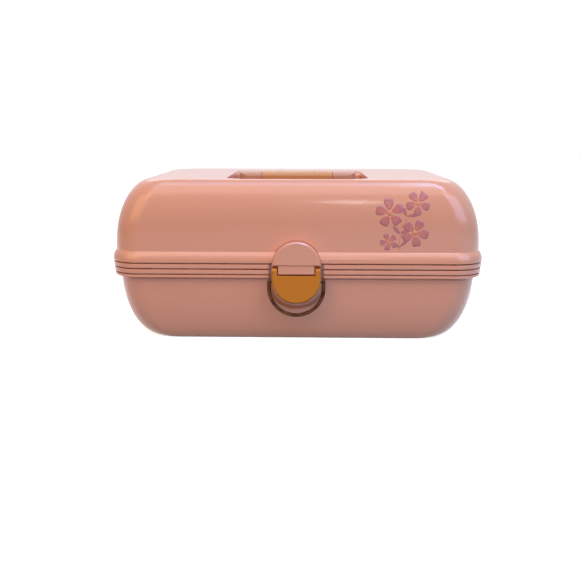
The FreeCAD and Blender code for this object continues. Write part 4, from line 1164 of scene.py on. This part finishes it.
# ---------------------------------------------------------------- studio
@dataclass(frozen=True)
class Softbox:
    """A rectangular area lamp that points at the case.

    Attributes:
        name: Its name.
        place: Where it stands, in metres.
        size: Its width and height, in metres.
        power: Its power, in watts.
        colour: Its tint.
        aim: The point that it looks at.
    """

    name: str
    place: Place
    size: tuple[float, float]
    power: float
    colour: Colour = WHITE
    aim: Place = (0.0, 0.0, 0.07)

    def build(self) -> None:
        """Add the lamp, hidden from the camera."""
        lamp = bpy.data.lights.new(self.name, "AREA")
        lamp.shape = "RECTANGLE"
        lamp.size, lamp.size_y = self.size
        lamp.energy = self.power
        lamp.color = self.colour
        holder = bpy.data.objects.new(self.name, lamp)
        holder.location = self.place
        heading = Vector(self.aim) - Vector(self.place)
        holder.rotation_euler = heading.to_track_quat("-Z", "Y").to_euler()
        holder.visible_camera = False
        bpy.context.scene.collection.objects.link(holder)


@dataclass
class Studio:
    """A plain pale floor, a white surround and soft lamps.

    Attributes:
        floor_half: Half the floor's width, in metres.
        floor_drop: How far the floor lies below the case, in metres.
        floor_face: The floor's colour to the eye.
        floor_glow: The light that it adds of its own, to the eye only.
        floor_bounce: The colour that it throws back on the case.
        ambient: The surround's strength as a light.
        lamps: The lamps.
    """

    floor_half: float = 6.0
    floor_drop: float = 0.0002
    floor_face: Colour = (0.9, 0.9, 0.9)
    floor_glow: float = 0.80
    floor_bounce: Colour = (0.06, 0.05, 0.045)
    ambient: float = 0.22
    lamps: Sequence[Softbox] = (
        Softbox("lamp_key", (0.1, -1.0, 1.5), (2.0, 1.1), 12.0, srgb(255, 232, 222), (0.1, 0.0, 0.07)),
        Softbox("lamp_overhead", (0.0, -0.3, 1.3), (1.3, 0.45), 5.4, srgb(150, 196, 255), (0.0, 0.0, 0.07)),
        Softbox("lamp_overhead_right", (0.5, -0.4, 1.3), (0.5, 0.55), 5.2, srgb(136, 200, 255),
                (0.5, 0.0, 0.07)),
        Softbox("lamp_front", (-0.1, -2.0, 0.8), (2.6, 1.8), 2.5, srgb(255, 234, 216)),
        Softbox("lamp_left", (-1.05, -1.1, 0.8), (1.2, 1.0), 8.5, srgb(255, 190, 96)),
        Softbox("lamp_right", (1.1, -0.95, 0.8), (1.1, 1.0), 10.5, srgb(184, 202, 255)),
        Softbox("lamp_streak", (0.205, -2.6, 1.25), (0.16, 0.025), 1.2),
        Softbox("lamp_back", (0.0, 1.7, 1.3), (2.0, 0.6), 7.0, srgb(255, 240, 236)),
    )

    FLOOR_CELLS: ClassVar[int] = 8

    def build(self) -> None:
        """Build the floor, the surround and the lamps."""
        self._floor()
        self._world()
        for lamp in self.lamps:
            lamp.build()

    def _floor(self) -> None:
        """Build a flat floor that looks white and throws little light on the case."""
        sheet = bmesh.new()
        bmesh.ops.create_grid(sheet, x_segments=self.FLOOR_CELLS, y_segments=self.FLOOR_CELLS,
                              size=self.floor_half)
        mesh = bpy.data.meshes.new("floor")
        sheet.to_mesh(mesh)
        sheet.free()
        floor = bpy.data.objects.new("floor", mesh)
        floor.location = (0.0, 0.0, -self.floor_drop)
        bpy.context.scene.collection.objects.link(floor)
        material, board = start_material("pale_floor")
        seen = viewed_rays(board)
        bounce = board.add("BsdfDiffuse", {"Color": self.floor_bounce})
        white = board.add("BsdfDiffuse", {"Color": self.floor_face})
        glow = board.add("Emission", {"Color": WHITE, "Strength": self.floor_glow})
        bright = board.add("AddShader", {0: white.outputs[0], 1: glow.outputs[0]})
        either = board.add("MixShader", {0: seen, 1: bounce.outputs[0], 2: bright.outputs[0]})
        board.add("OutputMaterial", {"Surface": either.outputs[0]})
        mesh.materials.append(material)

    def _world(self) -> None:
        """Make the surround white to the eye and in reflections, softer as a light."""
        world = bpy.data.worlds.new("surround")
        bpy.context.scene.world = world
        world.use_nodes = True
        board = Board(world.node_tree)
        strength = board.remap(viewed_rays(board), 0.0, 1.0, self.ambient, 1.0)
        back = board.add("Background", {"Color": WHITE, "Strength": strength})
        board.add("OutputWorld", {"Surface": back.outputs[0]})


@dataclass
class ViewCamera:
    """A camera a little above the case, looking down at its front.

    Attributes:
        place: Where it stands, in metres.
        pitch: How far it looks down, in radians.
        yaw: Its turn to the left.
        roll: Its roll.
        focal_pixels: The focal length, in pixels.
        frame_pixels: The frame's width, in pixels.
        sensor: The sensor's width, in millimetres.
        near: The nearest distance that it shows, in metres.
    """

    place: Place = (0.0102, -0.7638, 0.1885)
    pitch: float = 0.2098
    yaw: float = 0.024
    roll: float = 0.0012
    focal_pixels: float = 760.0
    frame_pixels: float = 580.0
    sensor: float = 36.0
    near: float = 0.01

    def build(self) -> None:
        """Add the camera and make it the scene's own."""
        lens = bpy.data.cameras.new("view_camera")
        lens.sensor_width = self.sensor
        lens.lens = self.focal_pixels / self.frame_pixels * self.sensor
        lens.clip_start = self.near
        camera = bpy.data.objects.new("view_camera", lens)
        camera.matrix_world = (Matrix.Translation(self.place) @ Matrix.Rotation(self.yaw, 4, "Z")
                               @ Matrix.Rotation(math.pi / 2.0 - self.pitch, 4, "X")
                               @ Matrix.Rotation(self.roll, 4, "Z"))
        bpy.context.scene.collection.objects.link(camera)
        bpy.context.scene.camera = camera


def main() -> None:
    """Build the camera and the studio, and dress the case."""
    logging.basicConfig(level=logging.INFO, format="%(message)s")
    bpy.context.scene.view_settings.view_transform = "Standard"
    shop = Workshop()
    ViewCamera().build()
    Studio().build()
    for assembly in (CaseShells(), Latch(), CarryHandle(), Interior(), BlossomPrint()):
        assembly.build(shop)
        LOG.info("%s built", type(assembly).__name__)


if __name__ == "__main__":
    main()
